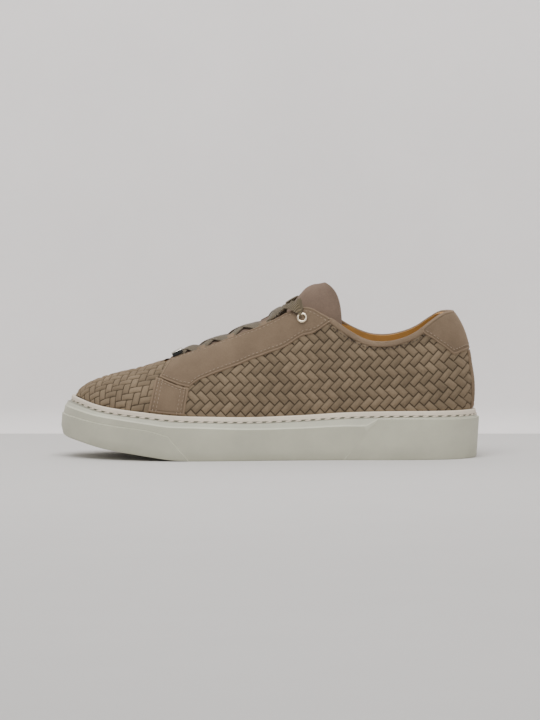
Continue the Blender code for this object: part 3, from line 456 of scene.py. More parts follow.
@functools.lru_cache(maxsize=None)
def profile(side, q):
    x, y, nx, ny = lip_point(side, q)
    foot_x, foot_y = inset_point(side, q, FOOT_INSET)
    axis_x = min(max(x, x_of(TOE_POLE)), x_of(HEEL_POLE))
    axis_y = axis_y_at(station_of(axis_x))
    full = follow(SECTIONS, "fullness", station_of(x))
    return foot_x, foot_y, lip_z(x) - LIP_COVER, nx, ny, axis_x, axis_y, full


def crown_z(x):
    return seam_z(follow(SECTIONS, "crown", station_of(x)))


@functools.lru_cache(maxsize=None)
def skin(side, q, theta):
    """Point on the outside of the upper."""
    foot_x, foot_y, foot_z, nx, ny, axis_x, axis_y, full = profile(side, q)
    reach = max(math.cos(theta), 0.0) ** (2 / full)
    rise = max(math.sin(theta), 0.0) ** (2 / full)
    x = mix(axis_x, foot_x, reach)
    y = mix(axis_y, foot_y, reach)
    z = mix(foot_z, crown_z(x), rise)
    heel_share = 1 - ease(0.02, 0.20, station_of(foot_x))
    up = (z - foot_z - LIP_COVER) / (0.36 * UPPER_HEIGHT)
    bulge = HEEL_BULGE * heel_share * math.sin(math.pi * min(max(up, 0.0), 1.0))
    return Vector((x + nx * bulge, y + ny * bulge, z))


def beside(side, q, theta, step):
    q += step
    if q < 0 or q > 1:
        side, q = -side, -q if q < 0 else 2 - q
    return skin(side, q, theta)


def skin_normal(side, q, theta):
    theta = min(max(theta, 0.03), QUARTER_TURN - 0.06)
    across = beside(side, q, theta, 0.004) - beside(side, q, theta, -0.004)
    up = skin(side, q, theta + 0.02) - skin(side, q, theta - 0.02)
    return (up.cross(across) * -side).normalized()


def over_skin(side, q, theta, out):
    return skin(side, q, theta) + skin_normal(side, q, theta) * out


def theta_at(side, q, z):
    low, high = 0.0, QUARTER_TURN
    for _ in range(20):
        middle = (low + high) / 2
        if skin(side, q, middle).z < z:
            low = middle
        else:
            high = middle
    return (low + high) / 2


def height_theta(side, q):
    low, high = 0.0, QUARTER_TURN
    for _ in range(20):
        middle = (low + high) / 2
        point = skin(side, q, middle)
        height = follow(TOP_EDGE, SIDE_NAMES[side], station_of(point.x))
        if point.z < seam_z(height):
            low = middle
        else:
            high = middle
    return (low + high) / 2


@functools.lru_cache(maxsize=None)
def edge_theta(side, q):
    """Where the throat or the collar cuts a profile; a right angle on the vamp."""
    station = station_of(lip_x(q))
    if station < THROAT_BLEND[0]:
        return height_theta(side, q)
    foot_x, foot_y, _, _, _, axis_x, axis_y, full = profile(side, q)
    half = LIP_HALF * follow(THROAT_FRONT, "half", station)
    reach = half / math.hypot(foot_x - axis_x, foot_y - axis_y)
    front = math.acos(reach ** (full / 2))
    if station > THROAT_BLEND[1]:
        return front
    return mix(height_theta(side, q), front, ease(*THROAT_BLEND, station))


@functools.lru_cache(maxsize=None)
def throat_half(side, station):
    if station >= THROAT_BASE:
        return 0.0
    q = share_at(x_of(station))
    return abs(skin(side, q, edge_theta(side, q)).y - axis_y_at(station))


def locate(side, seam):
    """Share q and theta of a point of the skin given in the side view."""
    x, z = x_of(seam.station), seam_z(seam.height)
    low, high = 0.0, 0.9
    for _ in range(20):
        q = (low + high) / 2
        if skin(side, q, theta_at(side, q, z)).x > x:
            low = q
        else:
            high = q
    return q, theta_at(side, q, z)


def lip_theta(side, q):
    return theta_at(side, q, lip_z(lip_x(q)) + 2 * CLEARANCE)


def tab_edge(side):
    back = (0.0, theta_at(side, 0.0, seam_z(TAB_LOWER_BACK)))
    return [locate(side, seam) for seam in TAB_LOWER] + [back]


# The tongue's top

def side_of(x, y):
    return LATERAL if y < axis_y_at(station_of(x)) else MEDIAL


def skin_height(x, y):
    _, foot_y, foot_z, _, _, _, axis_y, full = profile(side_of(x, y), share_at(x))
    reach = min(abs(y - axis_y) / abs(foot_y - axis_y), 0.995)
    return mix(foot_z, crown_z(x), (1 - reach ** full) ** (1 / full))


def off_surface(surface, x, y, distance):
    step = 0.0005
    along = (surface(x + step, y) - surface(x - step, y)) / (2 * step)
    across = (surface(x, y + step) - surface(x, y - step)) / (2 * step)
    return surface(x, y) + distance * math.sqrt(1 + along * along + across * across)


def tongue_height(x, y):
    station, side = station_of(x), side_of(x, y)
    inside = off_surface(skin_height, x, y, -(UPPER_WALL + 3 * CLEARANCE))
    foot_z = profile(side, share_at(x))[2]
    base = mix(inside, foot_z, follow(TONGUE, "sink", station))
    half = SWELL_SHARE * throat_half(side, round(station + SWELL_AHEAD, 5))
    across = abs(y - axis_y_at(station))
    if across >= half:
        return base
    swell = UPPER_HEIGHT * follow(TONGUE, "swell", station)
    return base + swell * (1 - (across / half) ** 2) ** 2


def facing_height(x, y):
    side, middle = side_of(x, y), axis_y_at(station_of(x))
    half = throat_half(side, round(station_of(x), 5))
    return skin_height(x, middle + side * max(abs(y - middle), half))


def lace_bed(x, y):
    station = station_of(x)
    edge = throat_half(side_of(x, y), round(station, 5)) - UPPER_WALL
    out = ease(edge - 0.0065, edge - 0.0010, abs(y - axis_y_at(station)))
    facing = off_surface(facing_height, x, y, OVERLAY_LIFT + OVERLAY)
    return mix(tongue_height(x, y), facing, out)


def eyelet_frame(side):
    q, theta = locate(side, EYELET_PLACE)
    normal = skin_normal(side, q, theta)
    seat = over_skin(side, q, theta, OVERLAY_LIFT + OVERLAY + CLEARANCE)
    turn = Vector((0, 0, 1)).rotation_difference(normal).to_matrix().to_4x4()
    return Matrix.Translation(seat) @ turn


# Mesh helpers

def make_object(name, bm, materials, sharp=None):
    mesh = bpy.data.meshes.new(name)
    bm.to_mesh(mesh)
    bm.free()
    mesh.shade_smooth()
    if sharp:
        mesh.set_sharp_from_angle(angle=math.radians(sharp))
    for material in materials:
        mesh.materials.append(material)
    obj = bpy.data.objects.new(name, mesh)
    bpy.context.scene.collection.objects.link(obj)
    return obj


def grid_mesh(columns, closed=False, caps=False):
    """Quads through columns of points; caps close a tube of closed rows at both ends."""
    bm = bmesh.new()
    verts = [[bm.verts.new(point) for point in column] for column in columns]
    pairs = list(zip(verts, verts[1:] + verts[:1] if closed else verts[1:]))
    count = len(verts[0])
    for near, far in pairs:
        for j in range(count if caps else count - 1):
            k = (j + 1) % count
            bm.faces.new((near[j], near[k], far[k], far[j]))
    if caps and not closed:
        bm.faces.new(verts[0][::-1])
        bm.faces.new(verts[-1])
    bmesh.ops.remove_doubles(bm, verts=bm.verts, dist=2e-6)
    bmesh.ops.recalc_face_normals(bm, faces=bm.faces)
    return bm


def slab_mesh(fronts, backs):
    """Closed piece between two grids of points that match."""
    bm = bmesh.new()
    grids = []
    for grid in (fronts, backs):
        verts = [[bm.verts.new(point) for point in column] for column in grid]
        for near, far in zip(verts, verts[1:]):
            for j in range(len(near) - 1):
                bm.faces.new((near[j], near[j + 1], far[j + 1], far[j]))
        rim = verts[0] + [column[-1] for column in verts[1:-1]] + verts[-1][::-1]
        grids.append(rim + [column[0] for column in verts[-2:0:-1]])
    front, back = grids
    for i in range(len(front)):
        bm.faces.new((front[i - 1], front[i], back[i], back[i - 1]))
    bmesh.ops.recalc_face_normals(bm, faces=bm.faces)
    return bm


def finish_piece(obj, slot, *nodes):
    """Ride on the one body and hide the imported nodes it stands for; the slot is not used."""
    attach(obj, "root")
    for node in nodes:
        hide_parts(node)
    return obj


def baked(obj, name, materials=None):
    """Turn an object with its modifiers into a plain mesh object of its own."""
    bpy.context.view_layer.update()
    depsgraph = bpy.context.evaluated_depsgraph_get()
    mesh = bpy.data.meshes.new_from_object(obj.evaluated_get(depsgraph))
    mesh.name = name
    for material in materials or ():
        mesh.materials.append(material)
    result = bpy.data.objects.new(name, mesh)
    bpy.context.scene.collection.objects.link(result)
    bpy.data.objects.remove(obj)
    return result


# Colours and nodes

def linear(code):
    """Linear colour of an sRGB hex value."""
    parts = [int(code[i:i + 2], 16) / 255 for i in (1, 3, 5)]
    parts = [p / 12.92 if p <= 0.04045 else ((p + 0.055) / 1.055) ** 2.4 for p in parts]
    return (*parts, 1.0)


def add(tree, kind, inputs=None, **settings):
    """Add a node with its settings; an input is a value or another node's socket."""
    item = tree.nodes.new(kind)
    for name, value in settings.items():
        setattr(item, name, value)
    for key, value in (inputs or {}).items():
        if isinstance(value, bpy.types.NodeSocket):
            tree.links.new(value, item.inputs[key])
        else:
            item.inputs[key].default_value = value
    return item


def new_material(name):
    material = bpy.data.materials.new(name)
    material.use_nodes = True
    tree = material.node_tree
    return material, tree, tree.nodes["Principled BSDF"]


def colour_ramp(tree, factor, stops):
    ramp = add(tree, "ShaderNodeValToRGB", {"Fac": factor})
    elements = ramp.color_ramp.elements
    while len(elements) < len(stops):
        elements.new(0.5)
    for element, (place, colour) in zip(elements, stops):
        element.position = place
        element.color = colour
    return ramp.outputs["Color"]


def noise(tree, size, detail=3.0, rough=0.6, source=None):
    """Noise whose grain is a size in metres."""
    place = source or add(tree, "ShaderNodeTexCoord").outputs["Object"]
    made = add(tree, "ShaderNodeTexNoise",
               {"Vector": place, "Scale": 1 / size, "Detail": detail, "Roughness": rough})
    return made.outputs["Fac"]


def calc(tree, operation, *values):
    made = add(tree, "ShaderNodeMath", dict(enumerate(values)), operation=operation)
    return made.outputs[0]


def blend_colour(tree, factor, low, high, kind="MIX"):
    made = add(tree, "ShaderNodeMix", {0: factor, 6: low, 7: high},
               data_type="RGBA", blend_type=kind)
    return made.outputs[2]


def shades(colour, factor):
    return (*(min(part * factor, 1.0) for part in colour[:3]), 1.0)


def options():
    return bpy.context.scene.sneaker


# Materials

def attribute(tree, name, output):
    return add(tree, "ShaderNodeAttribute", attribute_name=name).outputs[output]


def raise_by(tree, shader, height, distance, strength=1.0):
    bump = add(tree, "ShaderNodeBump",
               {"Height": height, "Distance": distance, "Strength": strength})
    tree.links.new(bump.outputs["Normal"], shader.inputs["Normal"])


def nap(tree, shader, colour, relief=0.00012):
    """Brushed suede: short fibres that scatter light, with lighter and darker strokes."""
    cloud = noise(tree, 0.022, 3.0, 0.6)
    fibre = noise(tree, 0.0011, 4.0, 0.75)
    tone = colour_ramp(tree, cloud, ((0.30, shades(colour, 0.86)), (0.72, shades(colour, 1.14))))
    fine = colour_ramp(tree, fibre, ((0.25, (0.84, 0.84, 0.84, 1.0)), (0.78, (1.10, 1.10, 1.10, 1.0))))
    shader.inputs["Roughness"].default_value = 0.92
    shader.inputs["Sheen Weight"].default_value = 0.35
    shader.inputs["Sheen Roughness"].default_value = 0.55
    shader.inputs["Sheen Tint"].default_value = shades(colour, 2.6)
    shader.inputs["Specular IOR Level"].default_value = 0.18
    raise_by(tree, shader, fibre, relief)
    return blend_colour(tree, 1.0, tone, fine, "MULTIPLY")


def step_between(tree, value, low, high):
    made = add(tree, "ShaderNodeMapRange", {"Value": value, 1: low, 2: high},
               interpolation_type="SMOOTHSTEP")
    return made.outputs[0]


@functools.lru_cache(maxsize=None)
def suede(name, look):
    """Smooth suede with a paler folded edge, and painted shade in a dark line along the crease where
    the fold ends.
    """
    material, tree, shader = new_material(name)
    colour = tuple(getattr(options(), look))
    tone = nap(tree, shader, colour)
    edge = attribute(tree, "edge_at", "Fac")
    fold = calc(tree, "SUBTRACT", 1.0, step_between(tree, edge, 0.0012, 0.0021))
    tone = blend_colour(tree, fold, tone, shades(colour, 1.16))
    # Painted shade: a dark line in the crease where the fold ends
    line = calc(tree, "ABSOLUTE", calc(tree, "SUBTRACT", edge, FOLD_WIDTH))
    line = calc(tree, "SUBTRACT", 1.0, step_between(tree, line, 0.0001, 0.0006))
    tone = blend_colour(tree, calc(tree, "MULTIPLY", line, 0.55), tone, shades(colour, 0.45))
    tree.links.new(tone, shader.inputs["Base Color"])
    return material


@functools.lru_cache(maxsize=None)
def plain_suede(name, look, factor=1.0):
    """Suede with no worked edge: the tongue, the backing and the bound collar."""
    material, tree, shader = new_material(name)
    tone = nap(tree, shader, shades(tuple(getattr(options(), look)), factor))
    tree.links.new(tone, shader.inputs["Base Color"])
    return material


@functools.lru_cache(maxsize=None)
def woven_suede():
    """Suede strips in a two over two twill: each float is a soft bar, with painted shade at its sides
    and ends where it dives under its neighbours.
    """
    material, tree, shader = new_material("woven_suede_strips")
    colour = tuple(options().weave_colour)
    tone = nap(tree, shader, colour)
    parts = add(tree, "ShaderNodeSeparateXYZ", {0: attribute(tree, "weave_at", "Vector")}).outputs
    i, j = calc(tree, "FLOOR", parts[0]), calc(tree, "FLOOR", parts[1])
    part_a, part_b = calc(tree, "SUBTRACT", parts[0], i), calc(tree, "SUBTRACT", parts[1], j)
    turn = calc(tree, "FLOORED_MODULO", calc(tree, "SUBTRACT", i, j), 4.0)
    warp = calc(tree, "LESS_THAN", turn, 1.5)
    weft = calc(tree, "SUBTRACT", 1.0, warp)
    second = calc(tree, "ADD", calc(tree, "MULTIPLY", warp, calc(tree, "SUBTRACT", 1.0, turn)),
                  calc(tree, "MULTIPLY", weft, calc(tree, "SUBTRACT", turn, 2.0)))
    across = calc(tree, "ADD", calc(tree, "MULTIPLY", warp, part_a),
                  calc(tree, "MULTIPLY", weft, part_b))
    along = calc(tree, "ADD", calc(tree, "MULTIPLY", warp, part_b),
                 calc(tree, "MULTIPLY", weft, part_a))
    along = calc(tree, "ADD", along, second)
    side = calc(tree, "ABSOLUTE", calc(tree, "MULTIPLY_ADD", across, 2.0, -1.0))
    end = calc(tree, "ABSOLUTE", calc(tree, "SUBTRACT", along, 1.0))
    # Painted shade mask: the float's sides and ends, where it meets and dives under the next strip
    gap = calc(tree, "MAXIMUM", calc(tree, "MULTIPLY", step_between(tree, side, 0.72, 1.0), 0.72),
               step_between(tree, end, 0.80, 0.99))
    first = add(tree, "ShaderNodeCombineXYZ", {
        0: calc(tree, "SUBTRACT", i, calc(tree, "MULTIPLY", second, weft)),
        1: calc(tree, "SUBTRACT", j, calc(tree, "MULTIPLY", second, warp)), 2: warp}).outputs[0]
    chance = add(tree, "ShaderNodeTexWhiteNoise", {"Vector": first},
                 noise_dimensions="3D").outputs["Value"]
    strip = colour_ramp(tree, chance, ((0.0, (0.84, 0.84, 0.84, 1.0)), (1.0, (1.12, 1.12, 1.12, 1.0))))
    tone = blend_colour(tree, 1.0, tone, strip, "MULTIPLY")
    # Paint the shade into the gaps between strips and at the float ends
    tone = blend_colour(tree, gap, tone, shades(colour, 0.16))
    tree.links.new(tone, shader.inputs["Base Color"])
    return material


@functools.lru_cache(maxsize=None)
def lining_leather():
    """Dyed pigskin: warm ochre, close pores, a dull shine."""
    material, tree, shader = new_material("lining_pigskin")
    colour = tuple(options().lining_colour)
    cloud = noise(tree, 0.018)
    tone = colour_ramp(tree, cloud, ((0.3, shades(colour, 0.82)), (0.75, shades(colour, 1.15))))
    tree.links.new(tone, shader.inputs["Base Color"])
    shader.inputs["Roughness"].default_value = 0.55
    raise_by(tree, shader, noise(tree, 0.0007, 2.0), 0.00010)
    return material


@functools.lru_cache(maxsize=None)
def moulded_rubber(name, look, factor=1.0):
    """Matt moulded rubber: faint mottling, a little dust, an even eggshell gloss."""
    material, tree, shader = new_material(name)
    colour = shades(tuple(getattr(options(), look)), factor)
    cloud = noise(tree, 0.030, 4.0, 0.65)
    tone = colour_ramp(tree, cloud, ((0.28, shades(colour, 0.90)), (0.75, shades(colour, 1.07))))
    tree.links.new(tone, shader.inputs["Base Color"])
    shader.inputs["Roughness"].default_value = 0.58
    shader.inputs["IOR"].default_value = 1.52
    raise_by(tree, shader, noise(tree, 0.0006, 3.0), 0.00006)
    return material


@functools.lru_cache(maxsize=None)
def braided_cotton():
    """Flat braided lace: fine slanting ribs of thread, drawn a little coarse to show."""
    material, tree, shader = new_material("braided_cotton_lace")
    colour = tuple(options().lace_colour)
    parts = add(tree, "ShaderNodeSeparateXYZ", {0: attribute(tree, "thread_at", "Vector")}).outputs
    fold = calc(tree, "ABSOLUTE", parts[1])
    rib = calc(tree, "SINE", calc(tree, "MULTIPLY", calc(tree, "ADD", parts[0], fold), 5200.0))
    tone = colour_ramp(tree, calc(tree, "MULTIPLY_ADD", rib, 0.5, 0.5),
                       ((0.1, shades(colour, 0.62)), (0.8, shades(colour, 1.22))))
    tree.links.new(tone, shader.inputs["Base Color"])
    shader.inputs["Roughness"].default_value = 0.82
    shader.inputs["Sheen Weight"].default_value = 0.25
    raise_by(tree, shader, rib, 0.00015)
    return material


@functools.lru_cache(maxsize=None)
def thread(name, look):
    """Waxed polyester thread: pale, slightly shiny."""
    material, tree, shader = new_material(name)
    colour = tuple(getattr(options(), look))
    tone = colour_ramp(tree, noise(tree, 0.0012), ((0.3, shades(colour, 0.85)), (0.7, colour)))
    tree.links.new(tone, shader.inputs["Base Color"])
    shader.inputs["Roughness"].default_value = 0.6
    return material


@functools.lru_cache(maxsize=None)
def plated_metal(name, look, rough):
    """Polished plating over brass: mirror like, with the faint haze of handling."""
    material, tree, shader = new_material(name)
    colour = tuple(getattr(options(), look))
    haze = noise(tree, 0.004, 3.0)
    tone = colour_ramp(tree, haze, ((0.3, shades(colour, 0.93)), (0.7, colour)))
    tree.links.new(tone, shader.inputs["Base Color"])
    shader.inputs["Metallic"].default_value = 1.0
    shader.inputs["Roughness"].default_value = rough
    raise_by(tree, shader, haze, 0.00003)
    return material


@functools.lru_cache(maxsize=None)
def painted_tag_reflection():
    """Near-black gloss on the tag's side faces: a painted dark reflection of the polished metal."""
    material, tree, shader = new_material("baked_black_enamel")
    tone = colour_ramp(tree, noise(tree, 0.003), ((0.3, linear("#0B0B0A")), (0.7, linear("#171614"))))
    tree.links.new(tone, shader.inputs["Base Color"])
    shader.inputs["Roughness"].default_value = 0.22
    return material


# Stitches

STITCH_FACE = (6, 5)


@functools.lru_cache(maxsize=None)
def stitch_tree():
    """Threads laid end to end along each path, turned to its tangent and its up."""
    tree = bpy.data.node_groups.new("stitch_rows", "GeometryNodeTree")
    sockets = tree.interface
    sockets.new_socket("Geometry", in_out="INPUT", socket_type="NodeSocketGeometry")
    for name, value in (("Pitch", 0.003), ("Length", 0.002), ("Thread", 0.0006), ("Slant", 0.0)):
        made = sockets.new_socket(name, in_out="INPUT", socket_type="NodeSocketFloat")
        made.default_value = value
    sockets.new_socket("Finish", in_out="INPUT", socket_type="NodeSocketMaterial")
    sockets.new_socket("Geometry", in_out="OUTPUT", socket_type="NodeSocketGeometry")
    given = add(tree, "NodeGroupInput").outputs
    curve = add(tree, "GeometryNodeMeshToCurve", {"Mesh": given["Geometry"]}).outputs[0]
    even = add(tree, "GeometryNodeResampleCurve", {"Curve": curve, "Length": given["Pitch"]},
               mode="LENGTH").outputs[0]
    ball = add(tree, "GeometryNodeMeshUVSphere",
               {"Segments": STITCH_FACE[0], "Rings": STITCH_FACE[1], "Radius": 0.5}).outputs[0]
    size = add(tree, "ShaderNodeCombineXYZ",
               {0: given["Length"], 1: given["Thread"], 2: given["Thread"]}).outputs[0]
    tangent = add(tree, "GeometryNodeInputTangent").outputs[0]
    up = add(tree, "GeometryNodeInputNamedAttribute", {"Name": "up"},
             data_type="FLOAT_VECTOR").outputs[0]
    along = add(tree, "FunctionNodeAlignRotationToVector", {"Vector": tangent}, axis="X").outputs[0]
    facing = add(tree, "FunctionNodeAlignRotationToVector", {"Rotation": along, "Vector": up},
                 axis="Z", pivot_axis="X").outputs[0]
    laid = add(tree, "GeometryNodeInstanceOnPoints",
               {"Points": even, "Instance": ball, "Rotation": facing, "Scale": size}).outputs[0]
    slant = add(tree, "ShaderNodeCombineXYZ", {2: given["Slant"]}).outputs[0]
    laid = add(tree, "GeometryNodeRotateInstances",
               {"Instances": laid, "Rotation": slant}).outputs[0]
    real = add(tree, "GeometryNodeRealizeInstances", {"Geometry": laid}).outputs[0]
    smooth = add(tree, "GeometryNodeSetShadeSmooth", {"Geometry": real}).outputs[0]
    done = add(tree, "GeometryNodeSetMaterial",
               {"Geometry": smooth, "Material": given["Finish"]}).outputs[0]
    tree.links.new(done, add(tree, "NodeGroupOutput").inputs["Geometry"])
    return tree


def sew(name, rows, material, slot, **sizes):
    """Stitches along rows of (point, up) pairs, as one plain mesh."""
    mesh = bpy.data.meshes.new(name + "_path")
    points, edges, ups = [], [], []
    for row in rows:
        first = len(points)
        points += [tuple(point) for point, _ in row]
        ups += [part for _, up in row for part in up]
        edges += [(i, i + 1) for i in range(first, len(points) - 1)]
    mesh.from_pydata(points, edges, [])
    mesh.attributes.new("up", "FLOAT_VECTOR", "POINT").data.foreach_set("vector", ups)
    path = bpy.data.objects.new(name + "_path", mesh)
    bpy.context.scene.collection.objects.link(path)
    modifier = path.modifiers.new("stitches", "NODES")
    modifier.node_group = stitch_tree()
    values = {**sizes, "Finish": material}
    for item in modifier.node_group.interface.items_tree:
        if item.in_out == "INPUT" and item.name in values:
            modifier[item.identifier] = values[item.name]
    return finish_piece(baked(path, name), slot)


# Places on the upper by one signed share: the outer side below 0, the inner above

FOLD_WIDTH = 0.0018
FOLD_DEPTH = 0.00022
EDGE_ROUND = 0.0009
EDGE_STEPS = (0.0, 0.00015, 0.0004, 0.0008, 0.0012, 0.0015, 0.0018, 0.0021, 0.0025, 0.0033)


def side_at(u):
    return MEDIAL if u > 0 else LATERAL


def over(u, theta, out):
    return over_skin(side_at(u), abs(u), theta, out)


def normal_at(u, theta):
    return skin_normal(side_at(u), abs(u), theta)


def rim_theta(u):
    return edge_theta(side_at(u), abs(u))


def chain_at(chain):
    """Place at a share of a chain of (u, theta) places."""
    points = np.array(chain)
    run = np.concatenate(([0.0], np.cumsum(np.abs(np.diff(points[:, 0])))))

    def at(share):
        return tuple(float(np.interp(share * run[-1], run, points[:, c])) for c in (0, 1))
    return at


def packed(run, inner):
    """Shares of a run, close together beside both ends for the rounded, folded edge."""
    close = [step / run for step in EDGE_STEPS if step < 0.42 * run]
    middle = list(np.linspace(close[-1], 1 - close[-1], inner))[1:-1]
    return close + middle + [1 - share for share in reversed(close)]


Patch = namedtuple("Patch", "low high run")


def patch_place(patch, c, t):
    (u_low, theta_low), (u_high, theta_high) = patch.low(c), patch.high(c)
    return mix(u_low, u_high, t), mix(theta_low, theta_high, t)


def patch_width(patch, c):
    return (over(*patch.high(c), 0.0) - over(*patch.low(c), 0.0)).length


def overlay_piece(name, patch, inner, material, lift=OVERLAY_LIFT, thick=OVERLAY):
    """Closed piece of suede on the skin, rounded at its edges, with a folded hem."""
    columns = packed(patch.run, inner[0])
    rows = packed(max(patch_width(patch, 0.5), 0.010), inner[1])
    fronts, backs, edges = [], [], []
    for c in columns:
        width = patch_width(patch, c)
        front, back = [], []
        for t in rows:
            place = patch_place(patch, c, t)
            edge = min(min(t, 1 - t) * width, min(c, 1 - c) * patch.run)
            rounded = math.sqrt(max(1 - (1 - min(edge / EDGE_ROUND, 1.0)) ** 2, 0.0))
            fold = FOLD_DEPTH * math.exp(-((edge - FOLD_WIDTH) / 0.0004) ** 2)
            front.append(over(*place, lift + thick * (0.30 + 0.70 * rounded) - fold))
            back.append(over(*place, lift))
            edges.append(edge)
        fronts.append(front)
        backs.append(back)
    obj = make_object(name, slab_mesh(fronts, backs), [material], 60)
    values = edges + [0.0] * len(edges)
    obj.data.attributes.new("edge_at", "FLOAT", "POINT").data.foreach_set("value", values)
    return obj


def row_along(patch, inset, from_high, start=0.03, end=0.97, steps=90):
    """Stitch row that keeps a distance from the patch's lower or upper edge."""
    row = []
    for c in np.linspace(start, end, steps):
        t = min(inset / max(patch_width(patch, c), 1e-4), 0.9)
        place = patch_place(patch, float(c), 1 - t if from_high else t)
        row.append((over(*place, OVERLAY_LIFT + OVERLAY), normal_at(*place)))
    return row


def row_across(patch, inset, start=0.06, end=0.94, steps=30):
    """Stitch row beside one end of the patch; a negative inset is from the far end."""
    c = inset / patch.run if inset > 0 else 1 + inset / patch.run
    row = []
    for t in np.linspace(start, end, steps):
        place = patch_place(patch, c, float(t))
        row.append((over(*place, OVERLAY_LIFT + OVERLAY), normal_at(*place)))
    return row


def facing_patch(side):
    low = chain_at([(side * q, theta) for q, theta in (locate(side, s) for s in FACING_LOWER)])
    front, rear = share_at(x_of(FACING_TOP_FRONT)), share_at(x_of(FACING_TOP_REAR))

    def high(c):
        u = side * mix(front, rear, c)
        return u, rim_theta(u)
    return Patch(low, high, 0.140)


def strap_patch(side):
    gap = 2 * CLEARANCE / UPPER_HEIGHT
    top = [STRAP_TOP_FRONT] + list(FACING_LOWER[:CROSS_SEAM_ROWS])
    top = [locate(side, Seam(seam.station, seam.height - gap)) for seam in top]
    high = chain_at([(side * q, theta) for q, theta in top])
    front, rear = share_at(x_of(STRAP_FOOT_FRONT)), share_at(x_of(STRAP_FOOT_REAR))

    def low(c):
        q = mix(front, rear, c)
        return side * q, lip_theta(side, q)
    return Patch(low, high, 0.025)


def tab_patch():
    lateral = [(-q, theta) for q, theta in tab_edge(LATERAL)]
    medial = [(q, theta) for q, theta in tab_edge(MEDIAL)][-2::-1]
    low = chain_at(lateral + medial)

    def high(c):
        u = low(c)[0]
        return u, rim_theta(u)
    return Patch(low, high, 0.095)


def stay_patch():
    half = BACK_STAY_WIDTH / 2 / LIP_RUN
    edges = {side: sorted(tab_edge(side)) for side in (LATERAL, MEDIAL)}

    def place(c):
        return mix(-half, half, c)

    def low(c):
        return place(c), lip_theta(side_at(place(c)), abs(place(c)))

    def high(c):
        u = place(c)
        edge = edges[side_at(u)]
        theta = float(np.interp(abs(u), [e[0] for e in edge], [e[1] for e in edge]))
        top_z = over(u, theta, 0.0).z - 2 * CLEARANCE
        return u, theta_at(side_at(u), abs(u), top_z)
    return Patch(low, high, BACK_STAY_WIDTH)


# Pieces of the upper

SHELL_DEPTH = 0.0006
SHELL_COLUMNS, SHELL_ROWS = 120, 22


def upper_depth(point):
    station = station_of(point.x)
    top = seam_z(follow(TOP_EDGE, "lateral", station))
    near_top = 1 - ease(0.0, COLLAR_PAD_REACH, top - point.z)
    return UPPER_WALL - SHELL_DEPTH + COLLAR_PAD * near_top * (1 - ease(0.24, 0.33, station))


def thicken(bm, depth, back_index=0):
    """Give an open sheet a wall: depth(point) is how far its back lies behind it."""
    fronts, faces = list(bm.verts), list(bm.faces)
    rims = [(edge, edge.link_loops[0]) for edge in bm.edges if edge.is_boundary]
    rims = [(loop.vert, loop.link_loop_next.vert) for _, loop in rims]
    backs = {v: bm.verts.new(v.co - v.normal * depth(v.co)) for v in fronts}
    for face in faces:
        bm.faces.new([backs[v] for v in reversed(face.verts)]).material_index = back_index
    for start, end in rims:
        bm.faces.new((end, start, backs[start], backs[end])).material_index = back_index
    bm.normal_update()
    return bm


def outward(bm, up=False):
    """Turn an open sheet's faces away from the shoe's middle, or upwards."""
    middle = Vector((0.0, 0.0, 0.05))
    way = sum(f.normal.z if up else f.normal.dot(f.calc_center_median() - middle)
              for f in bm.faces)
    if way < 0:
        bmesh.ops.reverse_faces(bm, faces=bm.faces)
    bm.normal_update()
    return bm


def make_shell():
    """The upper's wall: suede backing outside, tan lining inside, padded at the collar."""
    shares = [i / SHELL_COLUMNS for i in range(SHELL_COLUMNS + 1)]
    shares = sorted(shares + [share_at(x_of(THROAT_BASE))])
    places = [(LATERAL, q) for q in shares] + [(MEDIAL, q) for q in shares[-2:0:-1]]
    columns = []
    for side, q in places:
        foot_x, foot_y, *_ = profile(side, q)
        edge = edge_theta(side, q)
        column = [Vector((foot_x, foot_y, floor_z(foot_x) + CLEARANCE))]
        column += [over_skin(side, q, edge * j / SHELL_ROWS, -SHELL_DEPTH)
                   for j in range(SHELL_ROWS + 1)]
        columns.append(column)
    bm = outward(grid_mesh(columns, closed=True))
    bm = thicken(bm, upper_depth, 1)
    backing = plain_suede("suede_backing", "weave_colour", 0.5)
    obj = make_object("upper_shell", bm, [backing, lining_leather()], 50)
    finish_piece(obj, "woven_suede", "upper")


WEAVE_TURN = math.radians(13)
WEAVE_LOW, WEAVE_RISE = -0.00035, 0.00120
WEAVE_STEP = 0.0008
WEAVE_MEET = 0.735
HEEL_RISE_START, HEEL_RISE = 0.060, 1.25


def float_shape(a, b):
    """How high the weave stands at a place: a soft bar over two strips, low at its ends."""
    i, j = np.floor(a), np.floor(b)
    turn = np.mod(i - j, 4)
    warp = turn < 1.5
    second = np.where(warp, 1 - turn, turn - 2)
    across = np.where(warp, a - i, b - j)
    along = (np.where(warp, b - j, a - i) + second) / 2
    return (1 - np.abs(2 * across - 1) ** 3.2) * (1 - np.abs(2 * along - 1) ** 4)


def quarter_weave(side, q, column):
    """Strips at half a right angle to the sole, rising a little towards the heel."""
    at, run, last = [], 0.0, column[0]
    for point in column:
        run += (point - last).length
        last = point
        lift = HEEL_RISE * max(point.x - HEEL_RISE_START, 0.0) ** 2
        at.append((point.x + run - lift, point.x - run + lift))
    return np.array(at) / (math.sqrt(2) * options().strip_width)


def vamp_weave(side, q, column):
    """Strips across the vamp and along it, turned a little from the sole's line."""
    foot_x, foot_y, _, _, _, axis_x, axis_y, _ = profile(side, q)
    way = Vector((foot_x - axis_x, foot_y - axis_y)).normalized()
    steps = [0.0] + [(b - a).length for a, b in zip(column, column[1:])]
    down = np.sum(steps) - np.cumsum(steps)
    top = Vector((axis_x, axis_y)) if edge_theta(side, q) > QUARTER_TURN - 0.01 else None
    if top is None:
        half = throat_half(side, round(station_of(axis_x), 5))
        top = Vector((axis_x, axis_y)) + way * half
    x, y = top.x + way.x * down, top.y + way.y * down
    turned = (x * math.cos(WEAVE_TURN) - y * math.sin(WEAVE_TURN),
              y * math.cos(WEAVE_TURN) + x * math.sin(WEAVE_TURN))
    return np.column_stack(turned) / options().strip_width


